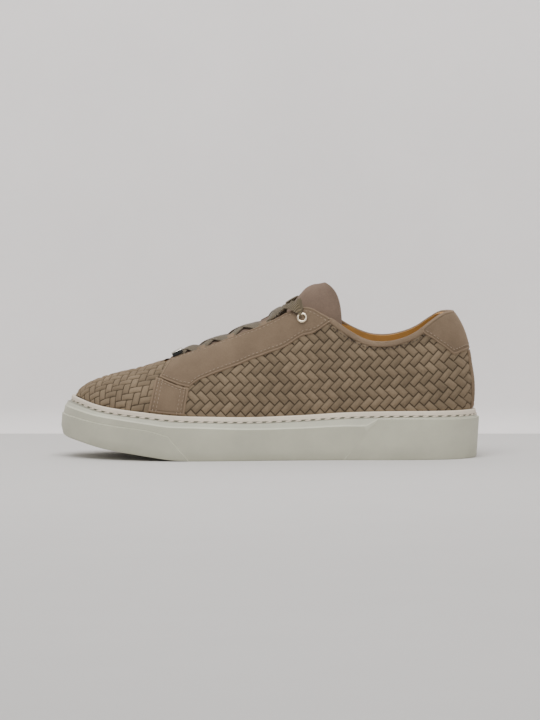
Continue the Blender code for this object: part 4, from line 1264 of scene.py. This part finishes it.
def make_weave(name, places, rows, rule):
    """Fine sheet over the upper, raised into the strips of the weave."""
    columns, marks = [], []
    for side, q in places:
        low, high = max(lip_theta(side, q) - 0.05, 0.0), edge_theta(side, q)
        thetas = [mix(low, high, j / rows) for j in range(rows + 1)]
        column = [skin(side, q, theta) for theta in thetas]
        at = rule(side, q, column)
        rises = WEAVE_LOW + WEAVE_RISE * float_shape(at[:, 0], at[:, 1])
        columns.append([point + skin_normal(side, q, theta) * float(rise)
                        for point, theta, rise in zip(column, thetas, rises)])
        marks += [(a, b, 0.0) for a, b in at]
    bm = bmesh.new()
    layer = bm.verts.layers.float_vector.new("weave_at")
    grid, count = [], 0
    for column in columns:
        line = []
        for point in column:
            vert = bm.verts.new(point)
            vert[layer] = marks[count]
            line.append(vert)
            count += 1
        grid.append(line)
    for near, far in zip(grid, grid[1:]):
        for j in range(len(near) - 1):
            bm.faces.new((near[j], near[j + 1], far[j + 1], far[j]))
    obj = make_object(name, outward(bm), [woven_suede()])
    finish_piece(obj, "woven_suede")


def make_weaves():
    meet = share_at(x_of(WEAVE_MEET))
    count = round((1 - meet) * LIP_RUN / WEAVE_STEP)
    shares = [float(q) for q in np.linspace(meet, 1.0, count)]
    places = [(LATERAL, q) for q in shares] + [(MEDIAL, q) for q in shares[-2::-1]]
    make_weave("weave_vamp", places, 76, vamp_weave)
    count = round(meet * LIP_RUN / WEAVE_STEP)
    shares = [float(q) for q in np.linspace(0.0, meet, count)]
    for side in (LATERAL, MEDIAL):
        make_weave("weave_" + SIDE_NAMES[side], [(side, q) for q in shares], 76, quarter_weave)


# Section of the bound collar: out from the wall and up from its top edge
BINDING = ((-0.0002, -0.0036), (0.0009, -0.0034), (0.0012, -0.0024), (0.0011, -0.0010),
           (0.0006, 0.0001), (-0.0002, 0.0006), (-0.0012, 0.0007), (-0.0021, 0.0003),
           (-0.0024, -0.0005), (-0.0022, -0.0014), (-0.0010, -0.0020))
BINDING_END = 0.356
BINDING_COLUMNS = 180


def rim_frame(u):
    """Place on the collar's edge, outward and upward."""
    theta = rim_theta(u)
    out = normal_at(u, theta)
    step = 0.002
    along = over(u + step, rim_theta(u + step), 0.0) - over(u - step, rim_theta(u - step), 0.0)
    up = along.cross(out).normalized()
    if up.z < 0:
        up = -up
    return over(u, theta, 0.0), out, up


def make_binding():
    """Folded suede along the collar's top edge, with a stitch row under it."""
    end = share_at(x_of(BINDING_END))
    columns, row = [], []
    for u in np.linspace(-end, end, BINDING_COLUMNS):
        point, out, up = rim_frame(float(u))
        columns.append([point + out * a + up * b for a, b in BINDING])
        row.append((point + out * 0.0010 - up * 0.0048, out))
    pale = plain_suede("suede_bound_collar", "suede_colour", 1.15)
    finish_piece(make_object("collar_binding", grid_mesh(columns, caps=True), [pale]),
                 "smooth_suede")
    half = len(row) // 2
    skip = round(half * 0.36)
    rows = [row[:half - skip], row[half + skip:]]
    sew("collar_stitches", rows, thread("polyester_thread_dark", "dark_thread_colour"),
        "smooth_suede", Pitch=0.0030, Length=0.0023, Thread=0.0007)


def make_overlays():
    """Facings, straps, heel tab and back stay, with their stitch rows."""
    material = suede("suede_smooth_panels", "suede_colour")
    rows = []
    for side in (LATERAL, MEDIAL):
        label = SIDE_NAMES[side]
        facing, strap = facing_patch(side), strap_patch(side)
        finish_piece(overlay_piece("facing_panel_" + label, facing, (110, 12), material),
                     "smooth_suede", "facing_" + label)
        finish_piece(overlay_piece("strap_panel_" + label, strap, (10, 16), material),
                     "smooth_suede", "strap_" + label)
        rows += [row_along(facing, 0.0032, False, 0.02, 0.98, 120),
                 row_along(facing, 0.0034, True, 0.02, 0.98, 120),
                 row_across(strap, 0.0030), row_across(strap, 0.0054),
                 row_across(strap, -0.0030), row_across(strap, -0.0054),
                 row_along(strap, 0.0026, True, 0.12, 0.88, 30)]
    tab, stay = tab_patch(), stay_patch()
    finish_piece(overlay_piece("heel_tab_panel", tab, (70, 10), material),
                 "smooth_suede", "heel_tab")
    finish_piece(overlay_piece("back_stay_panel", stay, (8, 16), material),
                 "smooth_suede", "back_stay")
    rows += [row_along(tab, 0.0032, False, 0.04, 0.96, 120),
             row_across(stay, 0.0030), row_across(stay, -0.0030)]
    sew("panel_stitches", rows, thread("polyester_thread_pale", "thread_colour"),
        "smooth_suede", Pitch=0.0030, Length=0.0022, Thread=0.0006)


# Cup sole

SOLE_STATIONS = 170
TREAD_GROOVE, TREAD_RIM, TREAD_PITCH = 0.0028, 0.0095, 0.0130
TREAD_STRETCHES = ((0.085, 0.30), (0.535, 0.90))
TREAD_WAIST = (0.345, 0.500)
GROOVE_STITCH = 0.0070
# Pairs of wall rows: the ridge's top takes a painted highlight, the stitch groove painted shade, the
# lip its own rubber
PAIR_RIDGE, PAIR_GROOVE, PAIR_LIP = 5, 7, 9


def flare_at(x):
    station = station_of(x)
    heel = mix(HEEL_FLARE, SIDE_FLARE, ease(0.02, 0.12, station))
    return mix(heel, TOE_FLARE, follow(FLARES, "toe", station))


def lean_slope(x):
    """How far the wall's columns run along the shoe for each metre of height."""
    station = station_of(x)
    if station < HEEL_DIAGONAL:
        return HEEL_SLOPE * ease(HEEL_DIAGONAL - LEAN_FADE, HEEL_DIAGONAL, station)
    if station > TOE_DIAGONAL:
        return TOE_SLOPE * (1 - ease(TOE_DIAGONAL, TOE_DIAGONAL + LEAN_FADE, station))
    share = (station - HEEL_DIAGONAL) / (TOE_DIAGONAL - HEEL_DIAGONAL)
    return mix(HEEL_SLOPE, TOE_SLOPE, share)


def wall_height(name, x, zone):
    """Height of a row of the side wall above the bottom edge."""
    station = station_of(x)
    top = SOLE_HEIGHT * follow(SOLE_LINES, "wall", station)
    ridge = SOLE_HEIGHT * follow(SOLE_LINES, "ridge", station)
    panel = SOLE_HEIGHT * follow(SOLE_LINES, "panel", station)
    if zone == "heel":
        panel = SOLE_HEIGHT * HEEL_LEDGE
        ridge = panel + LEDGE_RISE
    return {
        "edge": 0.0,
        "tread edge": TREAD_EDGE,
        "low": panel * LOW_ROW,
        "panel": panel,
        "panel step": panel + PANEL_STEP / 2,
        "ridge": ridge,
        "ridge top": ridge + RIDGE_WIDTH / (4 if zone == "heel" else 1),
        "groove low": top - LIP_DEPTH - GROOVE_WIDTH,
        "groove": top - LIP_DEPTH - GROOVE_WIDTH / 2,
        "lip low": top - LIP_DEPTH,
        "lip side": top - LIP_ROUND,
    }[name]


def wall_point(side, q, zone, row):
    x = lip_x(q)
    height = wall_height(row.name, x, zone)
    lean_height = min(height, wall_height("panel step", x, zone))
    q = share_at(x + lean_slope(x) * lean_height) if 0 < q < 1 else q
    x, y, nx, ny = lip_point(side, q)
    toe_share = follow(FLARES, "toe", station_of(x))
    share = row.heel if zone == "heel" else mix(row.side, row.toe, toe_share)
    out = share * flare_at(x)
    if row.name in ("edge", "tread edge", "low", "panel") and zone != "waist":
        out += PANEL_STEP
    return x + nx * out, y + ny * out, bottom_z(x) + wall_height(row.name, x, zone)


def sole_places():
    """Places round the sole's wall with their zone, doubled at the two diagonals."""
    heel_q, toe_q = share_at(x_of(HEEL_DIAGONAL)), share_at(x_of(TOE_DIAGONAL))
    half_step = PANEL_STEP / 2 / LIP_RUN
    side = []
    for i in range(SOLE_STATIONS + 1):
        q = i / SOLE_STATIONS
        if min(abs(q - heel_q), abs(q - toe_q)) > 0.4 / SOLE_STATIONS:
            side.append((q, "heel" if q < heel_q else "toe" if q > toe_q else "waist"))
    side += [(heel_q - half_step, "heel"), (heel_q + half_step, "waist")]
    side += [(toe_q - half_step, "waist"), (toe_q + half_step, "toe")]
    side.sort()
    lateral = [(LATERAL, q, zone) for q, zone in side]
    return lateral + [(MEDIAL, q, zone) for q, zone in side[-2:0:-1]]


def crossbar(bm, low_station, high_station):
    """Prism across the tread, ending inside its rim, that cuts a groove."""
    corners = []
    for station, side in ((low_station, LATERAL), (high_station, LATERAL),
                          (high_station, MEDIAL), (low_station, MEDIAL)):
        x = x_of(station)
        _, y = inset_point(side, share_at(x), TREAD_RIM)
        corners.append(Vector((x, y, bottom_z(x) + TREAD_DEPTH)))
    near = [bm.verts.new(point) for point in corners]
    far = [bm.verts.new(point - Vector((0, 0, 3 * TREAD_DEPTH))) for point in corners]
    bm.faces.new(near)
    bm.faces.new(far[::-1])
    for i in range(4):
        bm.faces.new((near[i - 1], near[i], far[i], far[i - 1]))


def make_sole():
    """Cup sole with its lip, stitch groove, ridge, bumper, heel block and tread."""
    places = sole_places()
    rings = [[wall_point(*place, row) for place in places] for row in WALL_ROWS]
    for inset, height in ((LIP_ROUND, lip_z), (LIP_WALL, lip_z), (LIP_WALL, floor_z)):
        ring = []
        for side, q, _ in places:
            x, y = inset_point(side, q, inset)
            ring.append((x, y, height(x)))
        rings.append(ring)
    bm = bmesh.new()
    verts = [[bm.verts.new(point) for point in ring] for ring in rings]
    count = len(places)
    for number, (low, high) in enumerate(zip(verts, verts[1:])):
        for i in range(count):
            j = (i + 1) % count
            # The ridge's top face is painted lighter as a painted highlight; the groove is painted
            # darker as painted shade
            face = bm.faces.new((low[i], high[i], high[j], low[j]))
            face.material_index = {PAIR_RIDGE: 2, PAIR_GROOVE: 3, PAIR_GROOVE + 1: 3}.get(
                number, 1 if number >= PAIR_LIP else 0)
    for ring in (verts[0], verts[-1]):
        for i in range(count // 2):
            bm.faces.new(list(dict.fromkeys((ring[i], ring[i + 1], ring[-i - 1], ring[-i]))))
    bmesh.ops.recalc_face_normals(bm, faces=bm.faces)
    bmesh.ops.triangulate(bm, faces=bm.faces)
    # Sidewall and lip rubber, then a lighter copy for the ridge's painted highlight and a darker copy
    # for the groove's painted shade
    rubber = [moulded_rubber("rubber_sidewall", "rubber_colour"),
              moulded_rubber("rubber_lip", "lip_colour"),
              moulded_rubber("rubber_ridge", "rubber_colour", 1.22),
              moulded_rubber("rubber_groove", "rubber_colour", 0.55)]
    sole = make_object("cup_sole", bm, rubber, 30)
    cutter = bmesh.new()
    half, pitch = TREAD_GROOVE / 2 / LENGTH, TREAD_PITCH / LENGTH
    for first, last in TREAD_STRETCHES:
        for k in range(int((last - first) / pitch) + 1):
            crossbar(cutter, first + k * pitch - half, first + k * pitch + half)
    crossbar(cutter, *TREAD_WAIST)
    bmesh.ops.recalc_face_normals(cutter, faces=cutter.faces)
    tool = make_object("tread_cutter", cutter, [])
    cut = sole.modifiers.new("tread", "BOOLEAN")
    cut.object = tool
    sole = baked(sole, "cup_sole_rubber")
    bpy.data.objects.remove(tool)
    sole.data.set_sharp_from_angle(angle=math.radians(30))
    finish_piece(sole, "sole_rubber", "cupsole")
    row = []
    for side, q, zone in places + places[:1]:
        x, y, nx, ny = lip_point(side, q)
        z = bottom_z(x) + wall_height("groove", x, zone)
        row.append((Vector((x + nx * 0.0001, y + ny * 0.0001, z)), (nx, ny, 0.0)))
    sew("sole_stitches", [row], thread("waxed_thread_cream", "lip_colour"), "sole_rubber",
        Pitch=GROOVE_STITCH, Length=0.0058, Thread=0.0014, Slant=0.12)


# Tongue, laces and their metal

TONGUE_END_CURVE = 1.8
TONGUE_COLUMNS, TONGUE_ROWS = 96, 40
TONGUE_EDGE_DROP = 0.0010


def make_tongue():
    """Padded suede tongue, soft at its edges, standing above the throat."""
    columns = []
    for station in np.linspace(TONGUE[0].station, TONGUE[-1].station, TONGUE_COLUMNS):
        station = round(float(station), 5)
        lean = TONGUE_END_LEAN * (1 - ease(TONGUE[-1].station, TONGUE_LEAN_START, station))
        middle, half = axis_y_at(station), LIP_HALF * follow(TONGUE, "half", station)
        column = []
        for k in range(TONGUE_ROWS + 1):
            across = 2 * k / TONGUE_ROWS - 1
            x = x_of(station) + lean * (1 - (1 - across * across) ** TONGUE_END_CURVE)
            y = middle + half * across
            drop = TONGUE_EDGE_DROP * abs(across) ** 14
            column.append(Vector((x, y, tongue_height(x, y) - drop)))
        columns.append(column)
    bm = thicken(outward(grid_mesh(columns), up=True), lambda _: TONGUE_THICKNESS)
    obj = make_object("tongue_padded", bm, [plain_suede("suede_tongue", "tongue_colour")], 70)
    soft = obj.modifiers.new("soft edge", "BEVEL")
    soft.width, soft.segments, soft.limit_method = 0.0011, 3, "ANGLE"
    soft.angle_limit = math.radians(60)
    finish_piece(baked(obj, "tongue_suede_piece"), "tongue_suede", "tongue")


LACE_ACROSS = (-1.0, -0.86, -0.5, 0.0, 0.5, 0.86, 1.0)
LACE_EDGE_DROP = 0.00035
LACE_GRID = 0.0012
# A strand that dives into its eyelet narrows over the last part of its run
PINCH_START, PINCH_SHARE = 0.70, 0.45


def strip(start, end, lift, bed, width=LACE_WIDTH, thick=LACE_THICKNESS, dive=0.0):
    """Flat strip between two plan points, laid on its bed; dive sinks its far end."""
    start, end = Vector(start), Vector(end)
    run = end - start
    way = run.normalized()
    side = Vector((-way.y, way.x)) * width / 2
    steps = max(6, round(run.length / LACE_GRID))
    columns = []
    for i in range(steps + 1):
        share = i / steps
        pinch = ease(PINCH_START, 1.0, share) if dive else 0.0
        column = []
        for k in LACE_ACROSS:
            point = start + run * share + side * k * (1 - PINCH_SHARE * pinch)
            z = off_surface(bed, point.x, point.y, 2 * CLEARANCE + lift + thick)
            z -= LACE_EDGE_DROP * abs(k) ** 6 + dive * pinch ** 2
            column.append(Vector((point.x, point.y, z)))
        columns.append(column)
    bm = thicken(outward(grid_mesh(columns), up=True), lambda _: thick)
    layer = bm.verts.layers.float_vector.new("thread_at")
    for vert in bm.verts:
        offset = Vector((vert.co.x, vert.co.y)) - start
        vert[layer] = (offset.dot(way), offset.dot(side.normalized()), 0.0)
    return bm


def gather(name, meshes, materials):
    """One object of several meshes."""
    whole = bmesh.new()
    whole.verts.layers.float_vector.new("thread_at")
    for bm in meshes:
        part = bpy.data.meshes.new("part")
        bm.to_mesh(part)
        bm.free()
        whole.from_mesh(part)
        bpy.data.meshes.remove(part)
    return make_object(name, whole, materials, 50)


def loop_point(station, side, inner=0.0):
    reach = throat_half(side, station) - UPPER_WALL - 2 * CLEARANCE - LACE_WIDTH / 2
    return axis_place(station, side, reach - inner)


def axis_place(station, side, reach):
    return x_of(station), axis_y_at(station) + side * reach


LOOP_WIDTH, LOOP_THICKNESS = 0.0080, 0.0010
# A loop runs between these two distances inside the throat's edge
LOOP_FAR, LOOP_NEAR = 0.0070, 0.0012
# A strand runs on past its loop's point by this length
STRAND_OVERRUN = 0.002
# The top strand bends just outside the throat's edge, a little above the crossing
TOP_BEND_X = 0.0105
TOP_BEND_OUT, TOP_BEND_LIFT = 0.0015, 0.0004
EYELET_DIVE = 0.0030


def make_laces():
    """Lowest bar, crossings and the strands into the top eyelets, with suede loops."""
    strips = [strip(loop_point(LACE_ROWS[0], LATERAL, -STRAND_OVERRUN),
                    loop_point(LACE_ROWS[0], MEDIAL, -STRAND_OVERRUN), LACE_STEP / 2,
                    tongue_height)]
    for low, high in zip(LACE_ROWS, LACE_ROWS[1:]):
        for side, lift in ((LATERAL, 0.0), (MEDIAL, LACE_STEP)):
            strips.append(strip(loop_point(low, side, -STRAND_OVERRUN),
                                loop_point(high, -side, -STRAND_OVERRUN), lift, tongue_height))
    for side, lift in ((LATERAL, 0.0), (MEDIAL, LACE_STEP)):
        eyelet = eyelet_frame(-side).translation
        start = Vector(loop_point(TOP_CROSS_START, side))
        station = station_of(TOP_BEND_X)
        reach = throat_half(side, round(station, 5)) + TOP_BEND_OUT
        bend = Vector(axis_place(station, -side, reach))
        strips.append(strip(start, bend, lift, lace_bed))
        strips.append(strip(bend, (eyelet.x, eyelet.y), lift + TOP_BEND_LIFT, lace_bed,
                            dive=EYELET_DIVE))
        strips.append(strip(loop_point(LACE_ROWS[-1], side), start, lift + LACE_STEP / 4,
                            tongue_height))
    finish_piece(gather("lace_flat", strips, [braided_cotton()]), "lace_cotton", "lace")
    loops = []
    for station in LACE_ROWS[1:]:
        for side in (LATERAL, MEDIAL):
            edge = throat_half(side, station)
            loops.append(strip(axis_place(station, side, edge - LOOP_FAR),
                               axis_place(station, side, edge - LOOP_NEAR),
                               LACE_THICKNESS - LACE_STEP, tongue_height,
                               LOOP_WIDTH, LOOP_THICKNESS))
    pale = plain_suede("suede_lace_loops", "suede_colour", 1.2)
    finish_piece(gather("lace_loops", loops, [pale]), "smooth_suede")


EYELET_TURNS = 48


def make_metal():
    """Turned top eyelets and the saddle-shaped tag on the lowest bar."""
    depth = OVERLAY + UPPER_WALL + CLEARANCE
    outline = [(EYELET_BORE, -depth), (EYELET_BORE, 0.0)]
    middle, half = (EYELET_RADIUS + EYELET_BORE) / 2, (EYELET_RADIUS - EYELET_BORE) / 2
    for step in range(1, 12):
        turn = math.pi * (1 - step / 12)
        outline.append((middle + half * math.cos(turn), 1.15 * EYELET_RIM * math.sin(turn)))
    outline += [(EYELET_RADIUS, 0.0), (EYELET_BARREL, 0.0), (EYELET_BARREL, -depth)]
    for side in (LATERAL, MEDIAL):
        rings = []
        for i in range(EYELET_TURNS):
            turn = Matrix.Rotation(2 * math.pi * i / EYELET_TURNS, 4, "Z")
            place = eyelet_frame(side) @ turn
            rings.append([place @ Vector((r, 0.0, h)) for r, h in outline])
        bm = grid_mesh([ring + ring[:1] for ring in rings], closed=True)
        plate = plated_metal("champagne_plating", "metal_colour", 0.24)
        name = "eyelet_ring_" + SIDE_NAMES[side]
        finish_piece(make_object(name, bm, [plate], 40), "eyelet_metal",
                     "eyelet_" + SIDE_NAMES[side])
    x, middle = x_of(LACE_ROWS[0]), axis_y_at(LACE_ROWS[0])
    seat = tongue_height(x, middle) + LACE_THICKNESS + LACE_STEP + 4 * CLEARANCE
    end = TAG_LENGTH / 2
    slope = (tongue_height(x + end, middle) - tongue_height(x - end, middle)) / TAG_LENGTH
    half, wall, drop, bend = TAG_WIDTH / 2, TAG_THICKNESS, TAG_DROP, TAG_THICKNESS * 0.7
    right = [(half - wall, -drop + wall), (half, -drop + wall), (half, wall - bend),
             (half - bend, wall)]
    left = [(-y, z) for y, z in reversed(right)]
    section = right + left + [(-half + wall, 0.0), (half - wall, 0.0)]
    place = Matrix.Translation((x, middle, seat)) @ Matrix.Rotation(-math.atan(slope), 4, "Y")
    ends = [[place @ Vector((along, y, z)) for y, z in section] for along in (-end, end)]
    obj = make_object("tag", grid_mesh(ends, caps=True),
                      [plated_metal("polished_tag", "tag_colour", 0.18), painted_tag_reflection()], 30)
    # The tag's broad side faces take the painted dark reflection; the rest stays polished metal
    for face in obj.data.polygons:
        face.material_index = 1 if abs(face.normal.y) > 0.7 and face.area > 1e-5 else 0
    edge = obj.modifiers.new("worn edge", "BEVEL")
    edge.width, edge.segments = 0.00025, 2
    finish_piece(baked(obj, "tag_saddle"), "tag_metal", "lace_tag")


# Stage

WALL_Y, COVE = 0.247, 0.020
STAGE_WIDTH, STAGE_FRONT, STAGE_TOP = 6.0, -6.0, 3.0
CAMERA_DISTANCE, CAMERA_LENS, CAMERA_SENSOR = 5.0, 348.7, 36.0
CAMERA_AIM, CAMERA_RISE = Vector((0.0, 0.0, 0.0692)), math.radians(3.5)

# Soft lights: place, aim, size and power in watts
Lamp = namedtuple("Lamp", "name place size power")
LAMPS = (
    Lamp("key_above", (-0.5, -1.1, 2.1), 1.6, 34.0),
    Lamp("fill_front", (0.9, -2.2, 0.9), 1.8, 14.0),
    Lamp("top_back", (0.3, 0.1, 1.9), 1.2, 8.0),
)

WALL_LAMP = Lamp("wall_wash", (0.0, -0.35, 0.75), 0.35, 1.6)


def matt_backdrop(name, look, mottle):
    """Painted plaster: dull, with a faint cloudy trowel pattern."""
    material, tree, shader = new_material(name)
    colour = tuple(getattr(options(), look))
    cloud = noise(tree, 0.09, 5.0, 0.6)
    tone = colour_ramp(tree, cloud, ((0.3, shades(colour, 1 - mottle)), (0.7, colour)))
    tree.links.new(tone, shader.inputs["Base Color"])
    shader.inputs["Roughness"].default_value = 0.9
    return material


def aim_lamp(lamp, target):
    light = bpy.data.lights.new(lamp.name, "AREA")
    light.size, light.energy = lamp.size, lamp.power
    obj = bpy.data.objects.new(lamp.name, light)
    obj.location = lamp.place
    obj.rotation_euler = (Vector(target) - Vector(lamp.place)).to_track_quat("-Z", "Y").to_euler()
    bpy.context.scene.collection.objects.link(obj)


def make_stage():
    """Floor, soft corner, wall, lights and the camera at the photograph's angle."""
    corner = [(0.0, STAGE_FRONT), (0.0, WALL_Y - COVE)]
    corner += [(COVE * (1 - math.cos(a)), WALL_Y - COVE + COVE * math.sin(a))
               for a in np.linspace(0.1, QUARTER_TURN, 9)]
    corner.append((STAGE_TOP, WALL_Y))
    half = STAGE_WIDTH / 2
    columns = [[Vector((x, float(y), float(z))) for z, y in corner] for x in (-half, half)]
    bm = grid_mesh(columns)
    if sum(face.normal.z for face in bm.faces) < 0:
        bmesh.ops.reverse_faces(bm, faces=bm.faces)
    stage = make_object("backdrop", bm, [matt_backdrop("painted_floor", "floor_colour", 0.02),
                                         matt_backdrop("painted_wall", "wall_colour", 0.05)])
    for face in stage.data.polygons:
        face.material_index = 1 if face.center.y > WALL_Y - COVE else 0
    for lamp in LAMPS:
        aim_lamp(lamp, (0.0, 0.0, 0.05))
    aim_lamp(WALL_LAMP, (0.0, WALL_Y, 0.25))
    world = bpy.data.worlds.new("pale_room")
    world.use_nodes = True
    world.node_tree.nodes["Background"].inputs["Color"].default_value = linear("#F2EFEC")
    world.node_tree.nodes["Background"].inputs["Strength"].default_value = 0.55
    bpy.context.scene.world = world
    camera = bpy.data.cameras.new("photo_camera")
    camera.lens, camera.sensor_width = CAMERA_LENS, CAMERA_SENSOR
    camera.clip_end = 50.0
    obj = bpy.data.objects.new("photo_camera", camera)
    offset = Vector((0.0, -math.cos(CAMERA_RISE), math.sin(CAMERA_RISE))) * CAMERA_DISTANCE
    obj.location = CAMERA_AIM + offset
    obj.rotation_euler = (-offset).to_track_quat("-Z", "Y").to_euler()
    bpy.context.scene.collection.objects.link(obj)
    bpy.context.scene.camera = obj


def dress_insole():
    """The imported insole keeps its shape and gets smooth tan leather."""
    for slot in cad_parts["insole"].material_slots:
        slot.material = lining_leather()


# What a user can change

def colour_option(name, description, code):
    return FloatVectorProperty(name=name, description=description, subtype="COLOR", size=4,
                               min=0.0, max=1.0, default=linear(code))


class SneakerLooks(bpy.types.PropertyGroup):
    """Sizes and colours of the sneaker's finish."""
    strip_width: FloatProperty(name="Strip width", description="Width of a woven strip",
                               default=0.005, min=0.003, max=0.01, unit="LENGTH")
    weave_colour: colour_option("Weave", "Colour of the woven suede strips", "#776855")
    suede_colour: colour_option("Panels", "Colour of the smooth suede panels", "#70604F")
    tongue_colour: colour_option("Tongue", "Colour of the tongue's suede", "#6B5B4F")
    lining_colour: colour_option("Lining", "Colour of the leather lining", "#B0803F")
    rubber_colour: colour_option("Sole", "Colour of the sole's rubber", "#B9B8A6")
    lip_colour: colour_option("Lip", "Colour of the sole's top lip", "#D9CDBA")
    lace_colour: colour_option("Lace", "Colour of the laces", "#5C5039")
    thread_colour: colour_option("Thread", "Colour of the panels' stitches", "#8F7D68")
    dark_thread_colour: colour_option("Dark thread", "Colour of the collar's stitches", "#4A3B2E")
    metal_colour: colour_option("Eyelets", "Colour of the eyelets' plating", "#EADCC3")
    tag_colour: colour_option("Tag", "Colour of the lace tag's metal", "#DAD6CC")
    floor_colour: colour_option("Floor", "Colour of the floor", "#CFCDCB")
    wall_colour: colour_option("Wall", "Colour of the wall", "#F6F2F1")


class SneakerOperator:
    """What the sneaker's operators share: run the maker, then report success."""
    bl_options = {"REGISTER", "UNDO"}

    def execute(self, context):
        for maker in self.makers:
            maker()
        return {"FINISHED"}


class SNEAKER_OT_upper(SneakerOperator, bpy.types.Operator):
    """Make the upper's wall and its lining"""
    bl_idname, bl_label = "sneaker.upper", "Upper wall"
    makers = (make_shell,)


class SNEAKER_OT_weave(SneakerOperator, bpy.types.Operator):
    """Make the woven suede of the vamp and the quarters"""
    bl_idname, bl_label = "sneaker.weave", "Woven suede"
    makers = (make_weaves,)


class SNEAKER_OT_panels(SneakerOperator, bpy.types.Operator):
    """Make the smooth suede panels and their stitches"""
    bl_idname, bl_label = "sneaker.panels", "Suede panels"
    makers = (make_overlays,)


class SNEAKER_OT_collar(SneakerOperator, bpy.types.Operator):
    """Make the bound collar edge"""
    bl_idname, bl_label = "sneaker.collar", "Collar binding"
    makers = (make_binding,)


class SNEAKER_OT_tongue(SneakerOperator, bpy.types.Operator):
    """Make the padded tongue"""
    bl_idname, bl_label = "sneaker.tongue", "Tongue"
    makers = (make_tongue,)


class SNEAKER_OT_laces(SneakerOperator, bpy.types.Operator):
    """Make the flat laces and their suede loops"""
    bl_idname, bl_label = "sneaker.laces", "Laces"
    makers = (make_laces,)


class SNEAKER_OT_metal(SneakerOperator, bpy.types.Operator):
    """Make the eyelets and the lace tag"""
    bl_idname, bl_label = "sneaker.metal", "Eyelets and tag"
    makers = (make_metal,)


class SNEAKER_OT_sole(SneakerOperator, bpy.types.Operator):
    """Make the cup sole with its stitches, and dress the insole"""
    bl_idname, bl_label = "sneaker.sole", "Cup sole and insole"
    makers = (make_sole, dress_insole)


class SNEAKER_OT_stage(SneakerOperator, bpy.types.Operator):
    """Make the floor, the wall, the lights and the camera"""
    bl_idname, bl_label = "sneaker.stage", "Stage"
    makers = (make_stage,)


OPERATORS = (SNEAKER_OT_stage, SNEAKER_OT_upper, SNEAKER_OT_weave, SNEAKER_OT_panels,
             SNEAKER_OT_collar, SNEAKER_OT_tongue, SNEAKER_OT_laces, SNEAKER_OT_metal,
             SNEAKER_OT_sole)


class SNEAKER_PT_looks(bpy.types.Panel):
    """Sidebar panel with the sneaker's sizes, colours and makers."""
    bl_label = "Sneaker"
    bl_space_type, bl_region_type, bl_category = "VIEW_3D", "UI", "Sneaker"

    def draw(self, context):
        for name in SneakerLooks.__annotations__:
            self.layout.prop(context.scene.sneaker, name)
        for operator in OPERATORS:
            self.layout.operator(operator.bl_idname)


CLASSES = (SneakerLooks, *OPERATORS, SNEAKER_PT_looks)


def register():
    for cls in CLASSES:
        bpy.utils.register_class(cls)
    bpy.types.Scene.sneaker = PointerProperty(type=SneakerLooks)


def unregister():
    del bpy.types.Scene.sneaker
    for cls in reversed(CLASSES):
        bpy.utils.unregister_class(cls)


def main():
    register()
    for operator in OPERATORS:
        group, name = operator.bl_idname.split(".")
        getattr(getattr(bpy.ops, group), name)()


if __name__ == "__main__":
    main()
